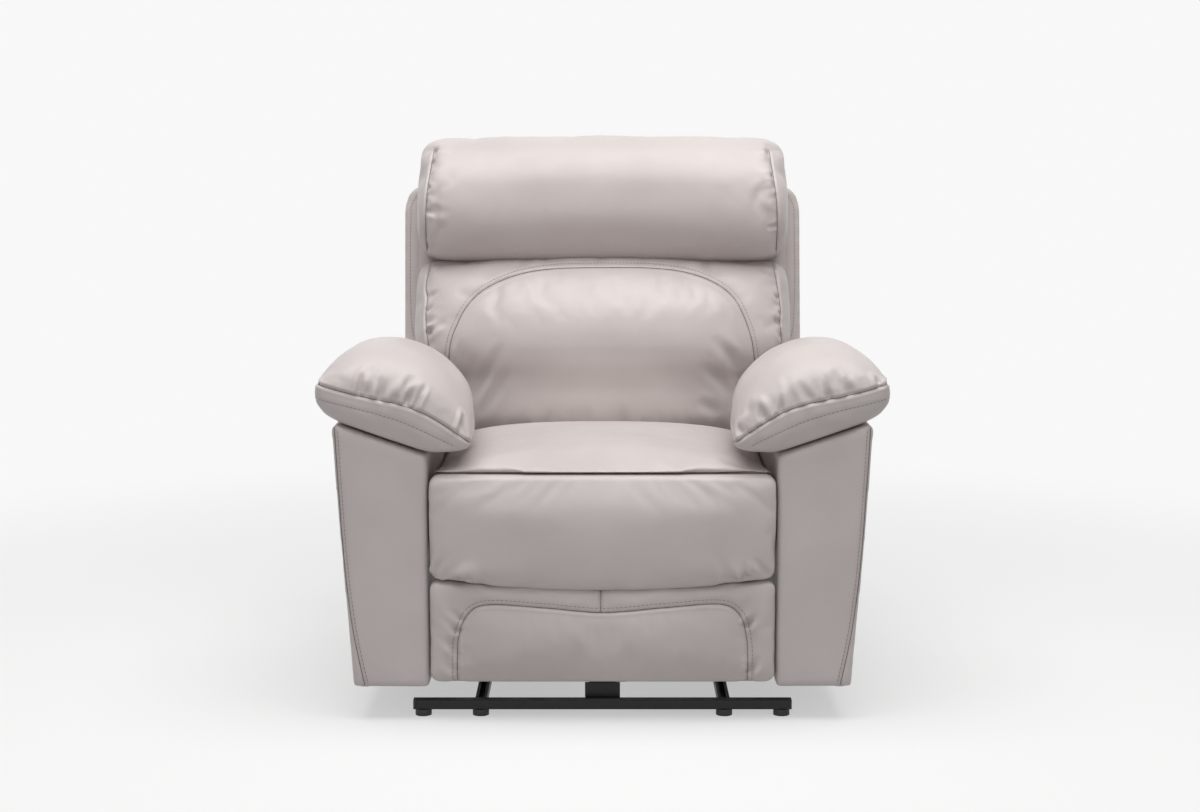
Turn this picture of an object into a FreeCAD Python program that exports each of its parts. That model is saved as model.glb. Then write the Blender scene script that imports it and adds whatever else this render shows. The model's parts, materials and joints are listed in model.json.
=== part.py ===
"""Powered recliner armchair: steel floor base, two padded arms, a gliding seat, a lattice-link
footrest and a reclining back. Millimetres, +Z up, the front of the chair faces -Y, and the origin
lies on the floor under the middle of the chair."""
import FreeCAD
import Part
import math
import os
import Sketcher
from FreeCAD import Placement, Rotation, Vector
from types import SimpleNamespace

# Driving sizes, in millimetres and degrees
SIZES = {
    # Whole chair
    "overall_width": 964,
    "overall_depth": 930,
    "seat_height": 424,
    "arm_gap": 584,
    "side_clearance": 6,
    "fit": 0.3,
    # Floor base
    "glide_height": 11,
    "glide_diameter": 28,
    "tube_width": 20,
    "tube_height": 16,
    "tube_wall": 2,
    "track_slot": 10,
    "cap_thickness": 3,
    "cross_rail_length": 640,
    "front_rail_setback": 60,
    "rear_rail_setback": 165,
    "carrier_thickness": 4,
    "carrier_width": 40,
    "carrier_top": 150,
    "front_carrier_setback": 345,
    "rear_carrier_setback": 275,
    # Drive unit
    "drive_rail_width": 46,
    "drive_rail_height": 20,
    "drive_rail_lift": 7,
    "drive_groove_depth": 5,
    "drive_groove_height": 8,
    "bracket_thickness": 3,
    "bracket_width": 60,
    "gearbox_length": 26,
    "gearbox_height": 46,
    "gearbox_width": 62,
    "motor_diameter": 44,
    "motor_length": 76,
    "inlet_width": 10,
    "inlet_height": 14,
    "inlet_length": 8,
    "nut_length": 56,
    "nut_width": 56,
    "nut_height": 44,
    "yoke_thickness": 4,
    "yoke_gap": 10,
    "yoke_width": 34,
    "yoke_play": 2.8,
    # Arms
    "pad_overhang": 30,
    "arm_bottom": 59,
    "arm_lean": 31,
    "arm_above_seat": 31,
    "arm_top_rise": 55,
    "arm_front_setback": 22,
    "arm_rear_setback": 155,
    "arm_wall": 14,
    "arm_top_wall": 18,
    "arm_floor": 6,
    "arm_round": 9,
    "arm_board": 18,
    "arm_panel": 12,
    "arm_rail_width": 24,
    "arm_rail_height": 30,
    # Arm pads
    "pad_front_setback": 5,
    "pad_length": 532,
    "pad_overlap": 79,
    "pad_crown": 88,
    "pad_tip": 13,
    "pad_band": 48,
    "pad_crest_share": 0.68,
    "pad_shoulder_share": 0.36,
    "pad_side_fullness": 0.2,
    "pad_brow_fullness": 0.62,
    "pad_shoulder_fullness": 0.82,
    "pad_under_lift": 0.4,
    "pad_front_run": 120,
    "pad_front_draw": 5,
    "pad_rear_run": 60,
    "pad_rear_draw": 12,
    "pad_rear_fullness": 0.6,
    # Switch
    "switch_length": 92,
    "switch_height": 40,
    "switch_depth": 7,
    "switch_corner": 8,
    "switch_setback": 230,
    "switch_above_seat": -4,
    "button_length": 30,
    "button_height": 26,
    "button_spacing": 42,
    "button_clearance": 0.3,
    "button_depth": 7.2,
    "button_floor": 2.4,
    # Seat frame and glides
    "plate_inset": 66,
    "plate_thickness": 4,
    "plate_drop": 3,
    "plate_margin": 18,
    "layer_gap": 4,
    "seat_thickness": 89,
    "seat_rail_width": 22,
    "seat_rail_height": 45,
    "seat_front_rail_height": 32,
    "seat_frame_setback": 115,
    "seat_frame_length": 430,
    "track_inset": 14,
    "hanger_width": 40,
    "hanger_lift": 13,
    "front_hanger_setback": 285,
    "hanger_span": 230,
    "cross_tube_diameter": 25,
    "cross_tube_wall": 2,
    "cross_tube_inset": 60,
    "spring_wire": 4,
    "spring_pitch": 44,
    "spring_width": 48,
    "spring_step": 82,
    "spring_inset": 5,
    # Seat cushion
    "seat_cushion_front_setback": 80,
    "seat_cushion_length": 463,
    "seat_nose": 55,
    "seat_crown": 21,
    "seat_edge_roll": 9,
    "seat_side_fall": 8,
    "seat_end_fall": 12,
    "seat_throat": 8,
    "seat_lip_run": 5,
    "seat_lip_rise": 9,
    "seat_brow_run": 19,
    "seat_brow_fall": 6,
    "seat_rear_fall": 16,
    # Footrest linkage
    "hinge_setback": 18,
    "footrest_swing": 80,
    "reach_run": 242,
    "reach_rise": 144,
    "swing_back": 100,
    "swing_drop": 170,
    "idler_step": 70,
    "guide_step": 50,
    "link_width": 20,
    "pin_diameter": 10,
    "pin_clearance": 0.1,
    "pin_end": 3,
    "torque_tube_diameter": 22,
    "torque_tube_wall": 2.5,
    "lever_length": 110,
    "lever_width": 34,
    "lever_tip_width": 20,
    "lever_thickness": 6,
    # Footrest
    "footrest_pad_depth": 60,
    "footrest_board_depth": 15,
    "footrest_bottom": 66,
    "footrest_top_gap": 6,
    "footrest_crease": 232,
    "crease_gap": 5,
    "crease_lift": 11,
    "footrest_flange": 26,
    "footrest_edge_roll": 11,
    "footrest_edge_draw": 1.4,
    "footrest_lip": 4,
    "footrest_lip_run": 14,
    "upper_low_tuck": 14,
    "upper_high_tuck": 20,
    "lower_low_tuck": 18,
    "lower_high_tuck": 14,
    "lower_setback": 2,
    # Back
    "back_rake": 11,
    "shell_height": 717,
    "shell_depth": 110,
    "shell_wall": 16,
    "shell_back_wall": 14,
    "shell_side_clearance": 12,
    "wing_half_width": 392,
    "wing_wall": 34,
    "wing_bottom": 374,
    "wing_round": 55,
    "wing_slope": 20,
    "pivot_setback": 92,
    "pivot_drop": 30,
    "pivot_above_shell": 157,
    "pivot_gap": 6,
    "stile_width": 22,
    "stile_top": 690,
    "back_rail_width": 50,
    "webbing_width": 55,
    "webbing_thickness": 3,
    "lumbar_bottom": 205,
    "lumbar_top": 563,
    "lumbar_depth": 202,
    "lumbar_half_width": 366,
    "lumbar_shoulder": 330,
    "lumbar_side_clearance": 4,
    "lumbar_side_share": 0.7,
    "lumbar_side_bulge": 2,
    "lumbar_back_inset": 6,
    "lumbar_front_inset": 16,
    "pillow_bottom": 570,
    "pillow_top": 817,
    "pillow_depth": 180,
    "pillow_half_width": 357,
    "pillow_edge_roll": 24,
    "pillow_edge_draw": 1.2,
    "pillow_front_fall": 8,
    "pillow_top_fall": 9,
    "pillow_chin_share": 0.62,
    "pillow_belly_share": 0.02,
    "pillow_belly_drop": 30,
    "pillow_brow_share": 0.2,
    "pillow_brow_drop": 62,
    "pillow_crest_share": 0.42,
    "pillow_crest_drop": 4,
    "pillow_nape_share": 0.1,
    "pillow_nape_drop": 12,
    "pillow_heel_setback": 8,
    "pillow_heel_rise": 44,
    "pillow_foot_setback": 4,
}

doc = FreeCAD.newDocument("recliner_armchair")
sheet = doc.addObject("Spreadsheet::Sheet", "Sizes")
for row, (name, number) in enumerate(SIZES.items(), start=1):
    sheet.set(f"A{row}", name)
    sheet.set(f"B{row}", str(number))
    sheet.setAlias(f"B{row}", name)
doc.recompute()


class Size:
    """A length that carries both its value and the sheet formula that gives it."""

    def __init__(self, value, text):
        self.value = float(value)
        self.text = text

    def __float__(self):
        return self.value

    def __neg__(self):
        return Size(-self.value, f"(-1 * {self.text})")

    def __add__(self, other):
        other = as_size(other)
        return Size(self.value + other.value, f"({self.text} + {other.text})")

    def __sub__(self, other):
        other = as_size(other)
        return Size(self.value - other.value, f"({self.text} - {other.text})")

    def __mul__(self, other):
        other = as_size(other)
        return Size(self.value * other.value, f"({self.text} * {other.text})")

    def __truediv__(self, other):
        other = as_size(other)
        return Size(self.value / other.value, f"({self.text} / {other.text})")

    def __radd__(self, other):
        return as_size(other) + self

    def __rsub__(self, other):
        return as_size(other) - self

    def __rmul__(self, other):
        return as_size(other) * self


def as_size(number):
    """Wrap a plain number so that it can take part in a formula."""
    return number if isinstance(number, Size) else Size(number, f"({float(number)!r})")


def hypotenuse(run, rise):
    """Length of the straight line with this run and rise."""
    text = f"sqrt({run.text} * {run.text} + {rise.text} * {rise.text})"
    return Size(math.hypot(float(run), float(rise)), text)


S = SimpleNamespace(**{name: Size(sheet.get(name), f"Sizes.{name}") for name in SIZES})
NODES = {}
RIGHT = 1
LEFT = -1
SIDES = (("left", LEFT), ("right", RIGHT))
X_AXIS = Vector(1, 0, 0)
Y_AXIS = Vector(0, 1, 0)
Z_AXIS = Vector(0, 0, 1)
UPRIGHT = Placement()
STRAP_COUNT = 4
SPRING_COUNT = 5
PAD_FRONT_STEPS = 7
PAD_REAR_STEPS = 4
# How far a cutting tool runs past the face that it opens
OVERRUN = 1
# Share of the half-width at which the end of the pillow begins to roll in
PILLOW_ROLL_START = 0.84
# Longest allowed mitre at a bend of a spring wire, as a share of a straight cut
MITRE_LIMIT = 0.3
# Stations across a soft piece, closer together towards its rounded ends
SHARES = (-1, -0.965, -0.88, -0.55, 0, 0.55, 0.88, 0.965, 1)


def bind(item, prop, size):
    """Tie one property of an object to the sheet."""
    item.setExpression(prop, as_size(size).text)


def node(label, item):
    """Name a finished piece and list it for writing."""
    item.Label = label
    NODES[label] = item
    return item


def at(x, y, z, frame=UPRIGHT):
    """Placement at a point of the given frame."""
    return frame.multiply(Placement(Vector(float(x), float(y), float(z)), Rotation()))


def box(name, size, corner, frame=UPRIGHT):
    """Rectangular block with its lowest corner at the given point."""
    item = doc.addObject("Part::Box", name)
    for prop, length in zip(("Length", "Width", "Height"), size):
        bind(item, prop, length)
    item.Placement = at(*corner, frame)
    return item


def rod(name, radius, length, start, axis):
    """Round bar from a start point along an axis."""
    item = doc.addObject("Part::Cylinder", name)
    bind(item, "Radius", radius)
    bind(item, "Height", length)
    turn = Rotation(Z_AXIS, axis)
    item.Placement = Placement(Vector(*[float(part) for part in start]), turn)
    return item


def pipe(name, radius, wall, length, start, axis):
    """Round tube from a start point along an axis."""
    outer = rod(f"{name}_outer", radius, length, start, axis)
    bore = rod(f"{name}_bore", radius - wall, length, start, axis)
    return cut(name, outer, bore)


def cut(name, base, tool):
    """One piece with another taken out of it."""
    item = doc.addObject("Part::Cut", name)
    item.Base = base
    item.Tool = tool
    return item


def fuse(name, pieces):
    """Several touching pieces welded into one."""
    item = doc.addObject("Part::MultiFuse", name)
    item.Shapes = pieces
    item.Refine = True
    return item


def group(name, pieces):
    """Several separate pieces that share one name."""
    item = doc.addObject("Part::Compound", name)
    item.Links = pieces
    return item


def free_form(name, shape, frame=UPRIGHT):
    """A piece whose shape comes from a loft or an extruded outline."""
    if shape.Volume < 0:
        shape.reverse()
    item = doc.addObject("Part::Feature", name)
    item.Shape = shape
    item.Placement = frame
    return item


def origin_plane(body, role):
    """One of a body's own origin planes."""
    return next(part for part in body.Origin.OriginFeatures if part.Role == role)


def new_sketch(body, role):
    """Empty sketch on one of the body's origin planes."""
    sketch = body.newObject("Sketcher::SketchObject", f"{body.Name}_outline")
    sketch.AttachmentSupport = [(origin_plane(body, role), "")]
    sketch.MapMode = "FlatFace"
    return sketch


def pin_point(sketch, edge, corner, point):
    """Hold one point of a sketch edge at a place measured from the sketch's origin."""
    for kind, size in zip(("DistanceX", "DistanceY"), point):
        size = as_size(size)
        rule = sketch.addConstraint(Sketcher.Constraint(kind, -1, 1, edge, corner, size.value))
        sketch.setExpression(f"Constraints[{rule}]", size.text)


def draw_polygon(sketch, points):
    """Closed outline of straight edges through the given points."""
    first = sketch.GeometryCount
    count = len(points)
    flat = [Vector(float(x), float(y), 0) for x, y in points]
    for index in range(count):
        sketch.addGeometry(Part.LineSegment(flat[index], flat[(index + 1) % count]), False)
    for index in range(count):
        following = first + (index + 1) % count
        sketch.addConstraint(Sketcher.Constraint("Coincident", first + index, 2, following, 1))
    for index, point in enumerate(points):
        pin_point(sketch, first + index, 1, point)


def draw_circle(sketch, centre, diameter):
    """Round hole in a sketch."""
    diameter = as_size(diameter)
    middle = Vector(float(centre[0]), float(centre[1]), 0)
    edge = sketch.addGeometry(Part.Circle(middle, Z_AXIS, diameter.value / 2), False)
    pin_point(sketch, edge, 3, centre)
    rule = sketch.addConstraint(Sketcher.Constraint("Diameter", edge, diameter.value))
    sketch.setExpression(f"Constraints[{rule}]", diameter.text)


def add_pad(body, sketch, depth):
    """Thicken a sketch into a solid."""
    pad = body.newObject("PartDesign::Pad", f"{body.Name}_pad")
    pad.Profile = sketch
    bind(pad, "Length", depth)
    return pad


def prism(name, role, points, depth, place, holes=(), windows=()):
    """Flat outline, with any round holes or cornered windows, drawn on a plane and thickened."""
    body = doc.addObject("PartDesign::Body", name)
    sketch = new_sketch(body, role)
    draw_polygon(sketch, points)
    for centre, diameter in holes:
        draw_circle(sketch, centre, diameter)
    for window in windows:
        draw_polygon(sketch, window)
    add_pad(body, sketch, depth)
    body.Placement = place
    return body


def round_edges(body, radius, wanted):
    """Round every edge of a body that the test picks."""
    doc.recompute()
    base = body.Tip
    names = [f"Edge{place}" for place, edge in enumerate(base.Shape.Edges, 1) if wanted(edge)]
    fillet = body.newObject("PartDesign::Fillet", f"{body.Name}_round")
    fillet.Base = (base, names)
    bind(fillet, "Radius", radius)
    return body


def runs_along(axis):
    """Test for straight edges parallel to an axis of the body."""
    return lambda edge: len(edge.Vertexes) == 2 and abs(edge.tangentAt(edge.FirstParameter).dot(axis)) > 0.99


def link_bar(name, length, width, thickness, place, holes, hole_diameter):
    """Flat bar with round ends; local X runs from its first pivot to its last."""
    body = doc.addObject("PartDesign::Body", name)
    sketch = new_sketch(body, "XY_Plane")
    span = float(length)
    radius = float(width) / 2
    near = Part.Circle(Vector(0, 0, 0), Z_AXIS, radius)
    far = Part.Circle(Vector(span, 0, 0), Z_AXIS, radius)
    sketch.addGeometry(Part.ArcOfCircle(near, math.pi / 2, 3 * math.pi / 2), False)
    sketch.addGeometry(Part.LineSegment(Vector(0, -radius, 0), Vector(span, -radius, 0)), False)
    sketch.addGeometry(Part.ArcOfCircle(far, -math.pi / 2, math.pi / 2), False)
    sketch.addGeometry(Part.LineSegment(Vector(span, radius, 0), Vector(0, radius, 0)), False)
    for edge in range(4):
        sketch.addConstraint(Sketcher.Constraint("Tangent", edge, 2, (edge + 1) % 4, 1))
    sketch.addConstraint(Sketcher.Constraint("Coincident", 0, 3, -1, 1))
    sketch.addConstraint(Sketcher.Constraint("PointOnObject", 2, 3, -1))
    rule = sketch.addConstraint(Sketcher.Constraint("DistanceX", -1, 1, 2, 3, span))
    sketch.setExpression(f"Constraints[{rule}]", length.text)
    rule = sketch.addConstraint(Sketcher.Constraint("Radius", 0, radius))
    sketch.setExpression(f"Constraints[{rule}]", (width / 2).text)
    for distance in holes:
        draw_circle(sketch, (as_size(distance), as_size(0)), hole_diameter)
    add_pad(body, sketch, thickness)
    body.Placement = place
    return body


def along_link(x, start, end):
    """Placement whose local X points from one (y, z) pivot to another, with local Z along +X."""
    run = Vector(0, float(end[0]) - float(start[0]), float(end[1]) - float(start[1])).normalize()
    turn = Rotation(run, Vector(0, -run.z, run.y), X_AXIS, "XYZ")
    return Placement(Vector(float(x), float(start[0]), float(start[1])), turn)


def loft(sections):
    """Solid skin through closed outlines that all have the same edges."""
    return Part.makeLoft(sections, True, True)


def swept(edges, run):
    """Outline filled and drawn out along a vector."""
    return Part.Face(outline(edges)).extrude(Vector(*run))


def end_roll(share, start):
    """How far a soft end has rolled in: 0 up to its start, 1 at the very end."""
    reach = max(0.0, (abs(share) - start) / (1 - start))
    return 1 - math.sqrt(max(0.0, 1 - reach * reach))


def outline(edges):
    """Closed outline; an edge of two points is straight and one of three is an arc."""
    shapes = []
    for edge in edges:
        points = [Vector(*point) for point in edge]
        if len(points) == 2:
            shapes.append(Part.LineSegment(*points).toShape())
        else:
            shapes.append(Part.Arc(*points).toShape())
    return Part.Wire(shapes)


# Places that several pieces share
front_y = -S.overall_depth / 2
rear_y = S.overall_depth / 2
seat_half = S.arm_gap / 2 - S.side_clearance
hinge = (front_y + S.hinge_setback, S.seat_height)
seat_frame_top = S.seat_height - S.seat_thickness
plate_x = S.arm_gap / 2 - S.plate_inset - S.plate_thickness
track_x = plate_x - S.track_inset
rail_top = S.glide_height + S.tube_height
link_x = plate_x - S.layer_gap - S.plate_thickness
reach_x = link_x - S.layer_gap - S.plate_thickness

# Pivots of the footrest lattice, as (y, z) with the footrest shut
drive_pivot = (hinge[0] + S.reach_run, hinge[1] - S.reach_rise)
reach_pivot = (drive_pivot[0] + S.swing_back, drive_pivot[1] - S.swing_drop)
toe_pivot = (hinge[0] + S.swing_back, hinge[1] - S.swing_drop)
reach_length = hypotenuse(S.reach_run, S.reach_rise)
swing_length = hypotenuse(S.swing_back, S.swing_drop)
idler_share = S.idler_step / reach_length
guide_share = S.guide_step / swing_length
idler_shift = (-S.reach_run * idler_share, S.reach_rise * idler_share)
guide_shift = (-S.swing_back * guide_share, S.swing_drop * guide_share)


def shifted(point, shift):
    """A pivot moved by a (y, z) step."""
    return (point[0] + shift[0], point[1] + shift[1])


idler_pivot = shifted(drive_pivot, idler_shift)
idler_end = shifted(reach_pivot, idler_shift)
guide_pivot = shifted(reach_pivot, guide_shift)
guide_end = shifted(toe_pivot, guide_shift)

# The lever hangs half the swing behind straight down when the footrest is shut
half_swing = math.radians(float(S.footrest_swing) / 2)
lever_tip = (float(drive_pivot[0]) + float(S.lever_length) * math.sin(half_swing),
             float(drive_pivot[1]) - float(S.lever_length) * math.cos(half_swing))

# The back leans on its own frame: local X across, local -Y to the front, local Z up the back
rake = math.radians(float(S.back_rake))
recline_pivot_z = seat_frame_top - S.pivot_drop
shell_foot = (float(rear_y) - float(S.shell_height) * math.sin(rake),
              float(recline_pivot_z - S.pivot_above_shell))
BACK = Placement(Vector(0, *shell_foot), Rotation(X_AXIS, -float(S.back_rake)))
recline_pivot = (shell_foot[0] - float(S.pivot_setback), float(recline_pivot_z))
recline_local = BACK.inverse().multVec(Vector(0, *recline_pivot))
shell_half = S.arm_gap / 2 - S.shell_side_clearance


def make_floor_base():
    """Cross rails with caps, slotted tracks, round glides and the straps that carry the arms."""
    front_back_face = front_y + S.front_rail_setback + S.tube_width
    rear_front_face = rear_y - S.rear_rail_setback - S.tube_width
    half = S.cross_rail_length / 2
    caps = []
    glides = []
    for label, face in (("front_cross_rail", front_back_face - S.tube_width),
                        ("rear_cross_rail", rear_front_face)):
        size = (S.cross_rail_length, S.tube_width, S.tube_height)
        outer = box(f"{label}_outer", size, (-half, face, S.glide_height))
        inner = (S.cross_rail_length, S.tube_width - 2 * S.tube_wall, S.tube_height - 2 * S.tube_wall)
        bore = box(f"{label}_bore", inner, (-half, face + S.tube_wall, S.glide_height + S.tube_wall))
        node(label, cut(label, outer, bore))
        for side, sign in SIDES:
            end = half if sign == RIGHT else -half - S.cap_thickness
            cap = (S.cap_thickness, S.tube_width, S.tube_height)
            caps.append(box(f"{label}_cap_{side}", cap, (end, face, S.glide_height)))
            outer_spot = half - S.glide_diameter / 2
            spots = (outer_spot, track_x) if label == "front_cross_rail" else (outer_spot,)
            for spot in spots:
                spot_y = face + S.tube_width / 2
                glides.append(rod(f"{label}_glide", S.glide_diameter / 2, S.glide_height,
                                  (sign * spot, spot_y, as_size(0)), Z_AXIS))
    node("cross_rail_caps", group("cross_rail_caps", caps))
    node("floor_glides", group("floor_glides", glides))

    wide = S.tube_width / 2
    inside = wide - S.tube_wall
    slot = S.track_slot / 2
    low = S.glide_height
    roof = rail_top - S.tube_wall
    for side, sign in SIDES:
        middle = sign * track_x
        points = [(middle + across, up) for across, up in (
            (-wide, low), (wide, low), (wide, rail_top), (slot, rail_top), (slot, roof), (inside, roof),
            (inside, low + S.tube_wall), (-inside, low + S.tube_wall), (-inside, roof), (-slot, roof),
            (-slot, rail_top), (-wide, rail_top))]
        length = rear_front_face - front_back_face
        label = f"base_rail_{side}"
        node(label, prism(label, "XZ_Plane", points, length, at(0, rear_front_face, 0)))

    reach = S.arm_gap / 2
    inner = reach - S.carrier_thickness
    under = S.glide_height - S.carrier_thickness
    for label, edge in (("front_arm_carrier", front_y + S.front_carrier_setback + S.carrier_width),
                        ("rear_arm_carrier", rear_y - S.rear_carrier_setback)):
        points = [(-reach, under), (reach, under), (reach, S.carrier_top), (inner, S.carrier_top),
                  (inner, S.glide_height), (-inner, S.glide_height), (-inner, S.carrier_top),
                  (-reach, S.carrier_top)]
        node(label, prism(label, "XZ_Plane", points, S.carrier_width, at(0, edge, 0)))


def drive_rail_outline(grow):
    """Half-height grooves on both sides of the drive rail, optionally grown by a clearance."""
    half = S.drive_rail_width / 2
    low = rail_top + S.drive_rail_lift
    groove_low = low + (S.drive_rail_height - S.drive_groove_height) / 2
    groove_high = groove_low + S.drive_groove_height
    return SimpleNamespace(half=half + grow, low=low, high=low + S.drive_rail_height + grow,
                           groove_low=groove_low + grow, groove_high=groove_high - grow,
                           neck=half - S.drive_groove_depth + grow)


def make_drive_unit():
    """Fixed rail with its end brackets, gearbox, motor and inlet, and the nut that rides on it."""
    front_face = front_y + S.front_rail_setback + S.tube_width
    rear_face = rear_y - S.rear_rail_setback - S.tube_width
    rail = drive_rail_outline(as_size(0))
    points = [(-rail.half, rail.low), (rail.half, rail.low), (rail.half, rail.groove_low),
              (rail.neck, rail.groove_low), (rail.neck, rail.groove_high), (rail.half, rail.groove_high),
              (rail.half, rail.high), (-rail.half, rail.high), (-rail.half, rail.groove_high),
              (-rail.neck, rail.groove_high), (-rail.neck, rail.groove_low), (-rail.half, rail.groove_low)]
    length = rear_face - front_face
    node("actuator_rail", prism("actuator_rail", "XZ_Plane", points, length, at(0, rear_face, 0)))

    brackets = []
    for name, face, sign in (("front", front_face, -1), ("rear", rear_face, 1)):
        top = rail_top + S.bracket_thickness
        points = [(face, rail_top), (face + sign * S.tube_width, rail_top),
                  (face + sign * S.tube_width, top), (face + sign * S.bracket_thickness, top),
                  (face + sign * S.bracket_thickness, rail.high), (face, rail.high)]
        brackets.append(prism(f"actuator_{name}_bracket", "YZ_Plane", points, S.bracket_width,
                              at(-S.bracket_width / 2, 0, 0)))
    node("actuator_brackets", group("actuator_brackets", brackets))

    case_left = -S.drive_rail_width / 2
    case = box("gearbox_case", (S.gearbox_width, S.gearbox_length, S.gearbox_height),
               (case_left, front_face, rail.high))
    node("actuator_gearbox", case)
    motor_x = case_left + S.gearbox_width
    axis_y = front_face + S.motor_diameter / 2
    axis_z = rail.high + S.gearbox_height / 2
    motor = rod("motor_can", S.motor_diameter / 2, S.motor_length, (motor_x, axis_y, axis_z), X_AXIS)
    node("actuator_motor", motor)
    corner = (motor_x + S.motor_length, axis_y - S.inlet_width / 2, axis_z - S.inlet_height / 2)
    inlet = box("inlet_socket", (S.inlet_length, S.inlet_width, S.inlet_height), corner)
    node("power_inlet", inlet)

    play = drive_rail_outline(S.fit)
    outer = S.nut_width / 2
    top = play.high + S.nut_height - S.drive_rail_height
    points = [(-outer, play.groove_low), (-outer, top), (outer, top), (outer, play.groove_low),
              (play.neck, play.groove_low), (play.neck, play.groove_high), (play.half, play.groove_high),
              (play.half, play.high), (-play.half, play.high), (-play.half, play.groove_high),
              (-play.neck, play.groove_high), (-play.neck, play.groove_low)]
    middle_y = lever_tip[0]
    saddle = prism("nut_saddle", "XZ_Plane", points, S.nut_length,
                   at(0, middle_y + float(S.nut_length) / 2, 0))
    pieces = [saddle]
    slot_half = S.pin_diameter / 2 + S.yoke_play
    slot_low = drive_pivot[1] - S.lever_length - slot_half
    slot_high = drive_pivot[1] - S.lever_length * math.cos(half_swing) + slot_half
    for sign in (LEFT, RIGHT):
        near = S.yoke_gap / 2 if sign == RIGHT else -S.yoke_gap / 2 - S.yoke_thickness
        size = (S.yoke_thickness, S.yoke_width, slot_high + S.yoke_play - top)
        cheek = box("yoke_cheek", size, (near, middle_y - float(S.yoke_width) / 2, top))
        size = (S.yoke_thickness, 2 * slot_half, slot_high - slot_low)
        slot = box("yoke_slot", size, (near, middle_y - float(slot_half), slot_low))
        pieces.append(cut("yoke_plate", cheek, slot))
    node("drive_nut", fuse("drive_nut", pieces))


def arm_section(sign, wall, top_wall, bottom):
    """Four corners of the arm box, drawn in by a wall on the sides and another at the top."""
    inner = S.arm_gap / 2 + wall
    outer_top = S.overall_width / 2 - S.pad_overhang - wall
    inner_top = S.seat_height + S.arm_above_seat - top_wall
    return [(sign * inner, bottom), (sign * (outer_top - S.arm_lean), bottom),
            (sign * outer_top, inner_top + S.arm_top_rise), (sign * inner, inner_top)]


def make_arm(side, sign):
    """Wooden frame inside a leather-covered arm box with a thin floor."""
    front = front_y + S.arm_front_setback
    rear = rear_y - S.arm_rear_setback
    shell = arm_section(sign, as_size(0), as_size(0), S.arm_bottom)
    cover = prism(f"arm_shell_{side}", "XZ_Plane", shell, rear - front, at(0, rear, 0))
    tall = float(S.seat_height - S.arm_bottom) / 2
    fore_aft = runs_along(Y_AXIS)
    round_edges(cover, S.arm_round, lambda edge: edge.BoundBox.ZLength > tall
                or (fore_aft(edge) and edge.BoundBox.ZMax > float(S.arm_bottom) + OVERRUN))
    hollow = arm_section(sign, S.arm_wall, S.arm_top_wall, S.arm_bottom + S.arm_floor)
    inside_front = front + S.arm_wall
    inside_rear = rear - S.arm_wall
    room = prism(f"arm_room_{side}", "XZ_Plane", hollow, inside_rear - inside_front, at(0, inside_rear, 0))
    node(f"arm_cover_{side}", cut(f"arm_cover_{side}", cover, room))

    boards = []
    footing = S.arm_bottom + S.arm_floor + S.fit
    board = arm_section(sign, S.arm_wall + S.fit, S.arm_top_wall + S.fit, footing)
    for name, edge in (("front", inside_front + S.fit + S.arm_board), ("rear", inside_rear - S.fit)):
        boards.append(prism(f"arm_{name}_board_{side}", "XZ_Plane", board, S.arm_board, at(0, edge, 0)))
    start = inside_front + S.fit + S.arm_board
    span = inside_rear - S.fit - S.arm_board - start
    near = S.arm_gap / 2 + S.arm_wall + S.fit
    ceiling = S.seat_height + S.arm_above_seat - S.arm_top_wall - 2 * S.fit
    left_edge = near if sign == RIGHT else -near - S.arm_panel
    boards.append(box(f"arm_panel_{side}", (S.arm_panel, span, ceiling - footing),
                      (left_edge, start, footing)))
    far = S.overall_width / 2 - S.pad_overhang - S.arm_lean - S.arm_wall - S.fit - S.arm_rail_width
    left_edge = far if sign == RIGHT else -far - S.arm_rail_width
    for name, low in (("bottom", footing), ("top", ceiling - S.arm_rail_height)):
        boards.append(box(f"arm_{name}_rail_{side}", (S.arm_rail_width, span, S.arm_rail_height),
                          (left_edge, start, low)))
    node(f"arm_frame_{side}", group(f"arm_frame_{side}", boards))


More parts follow.
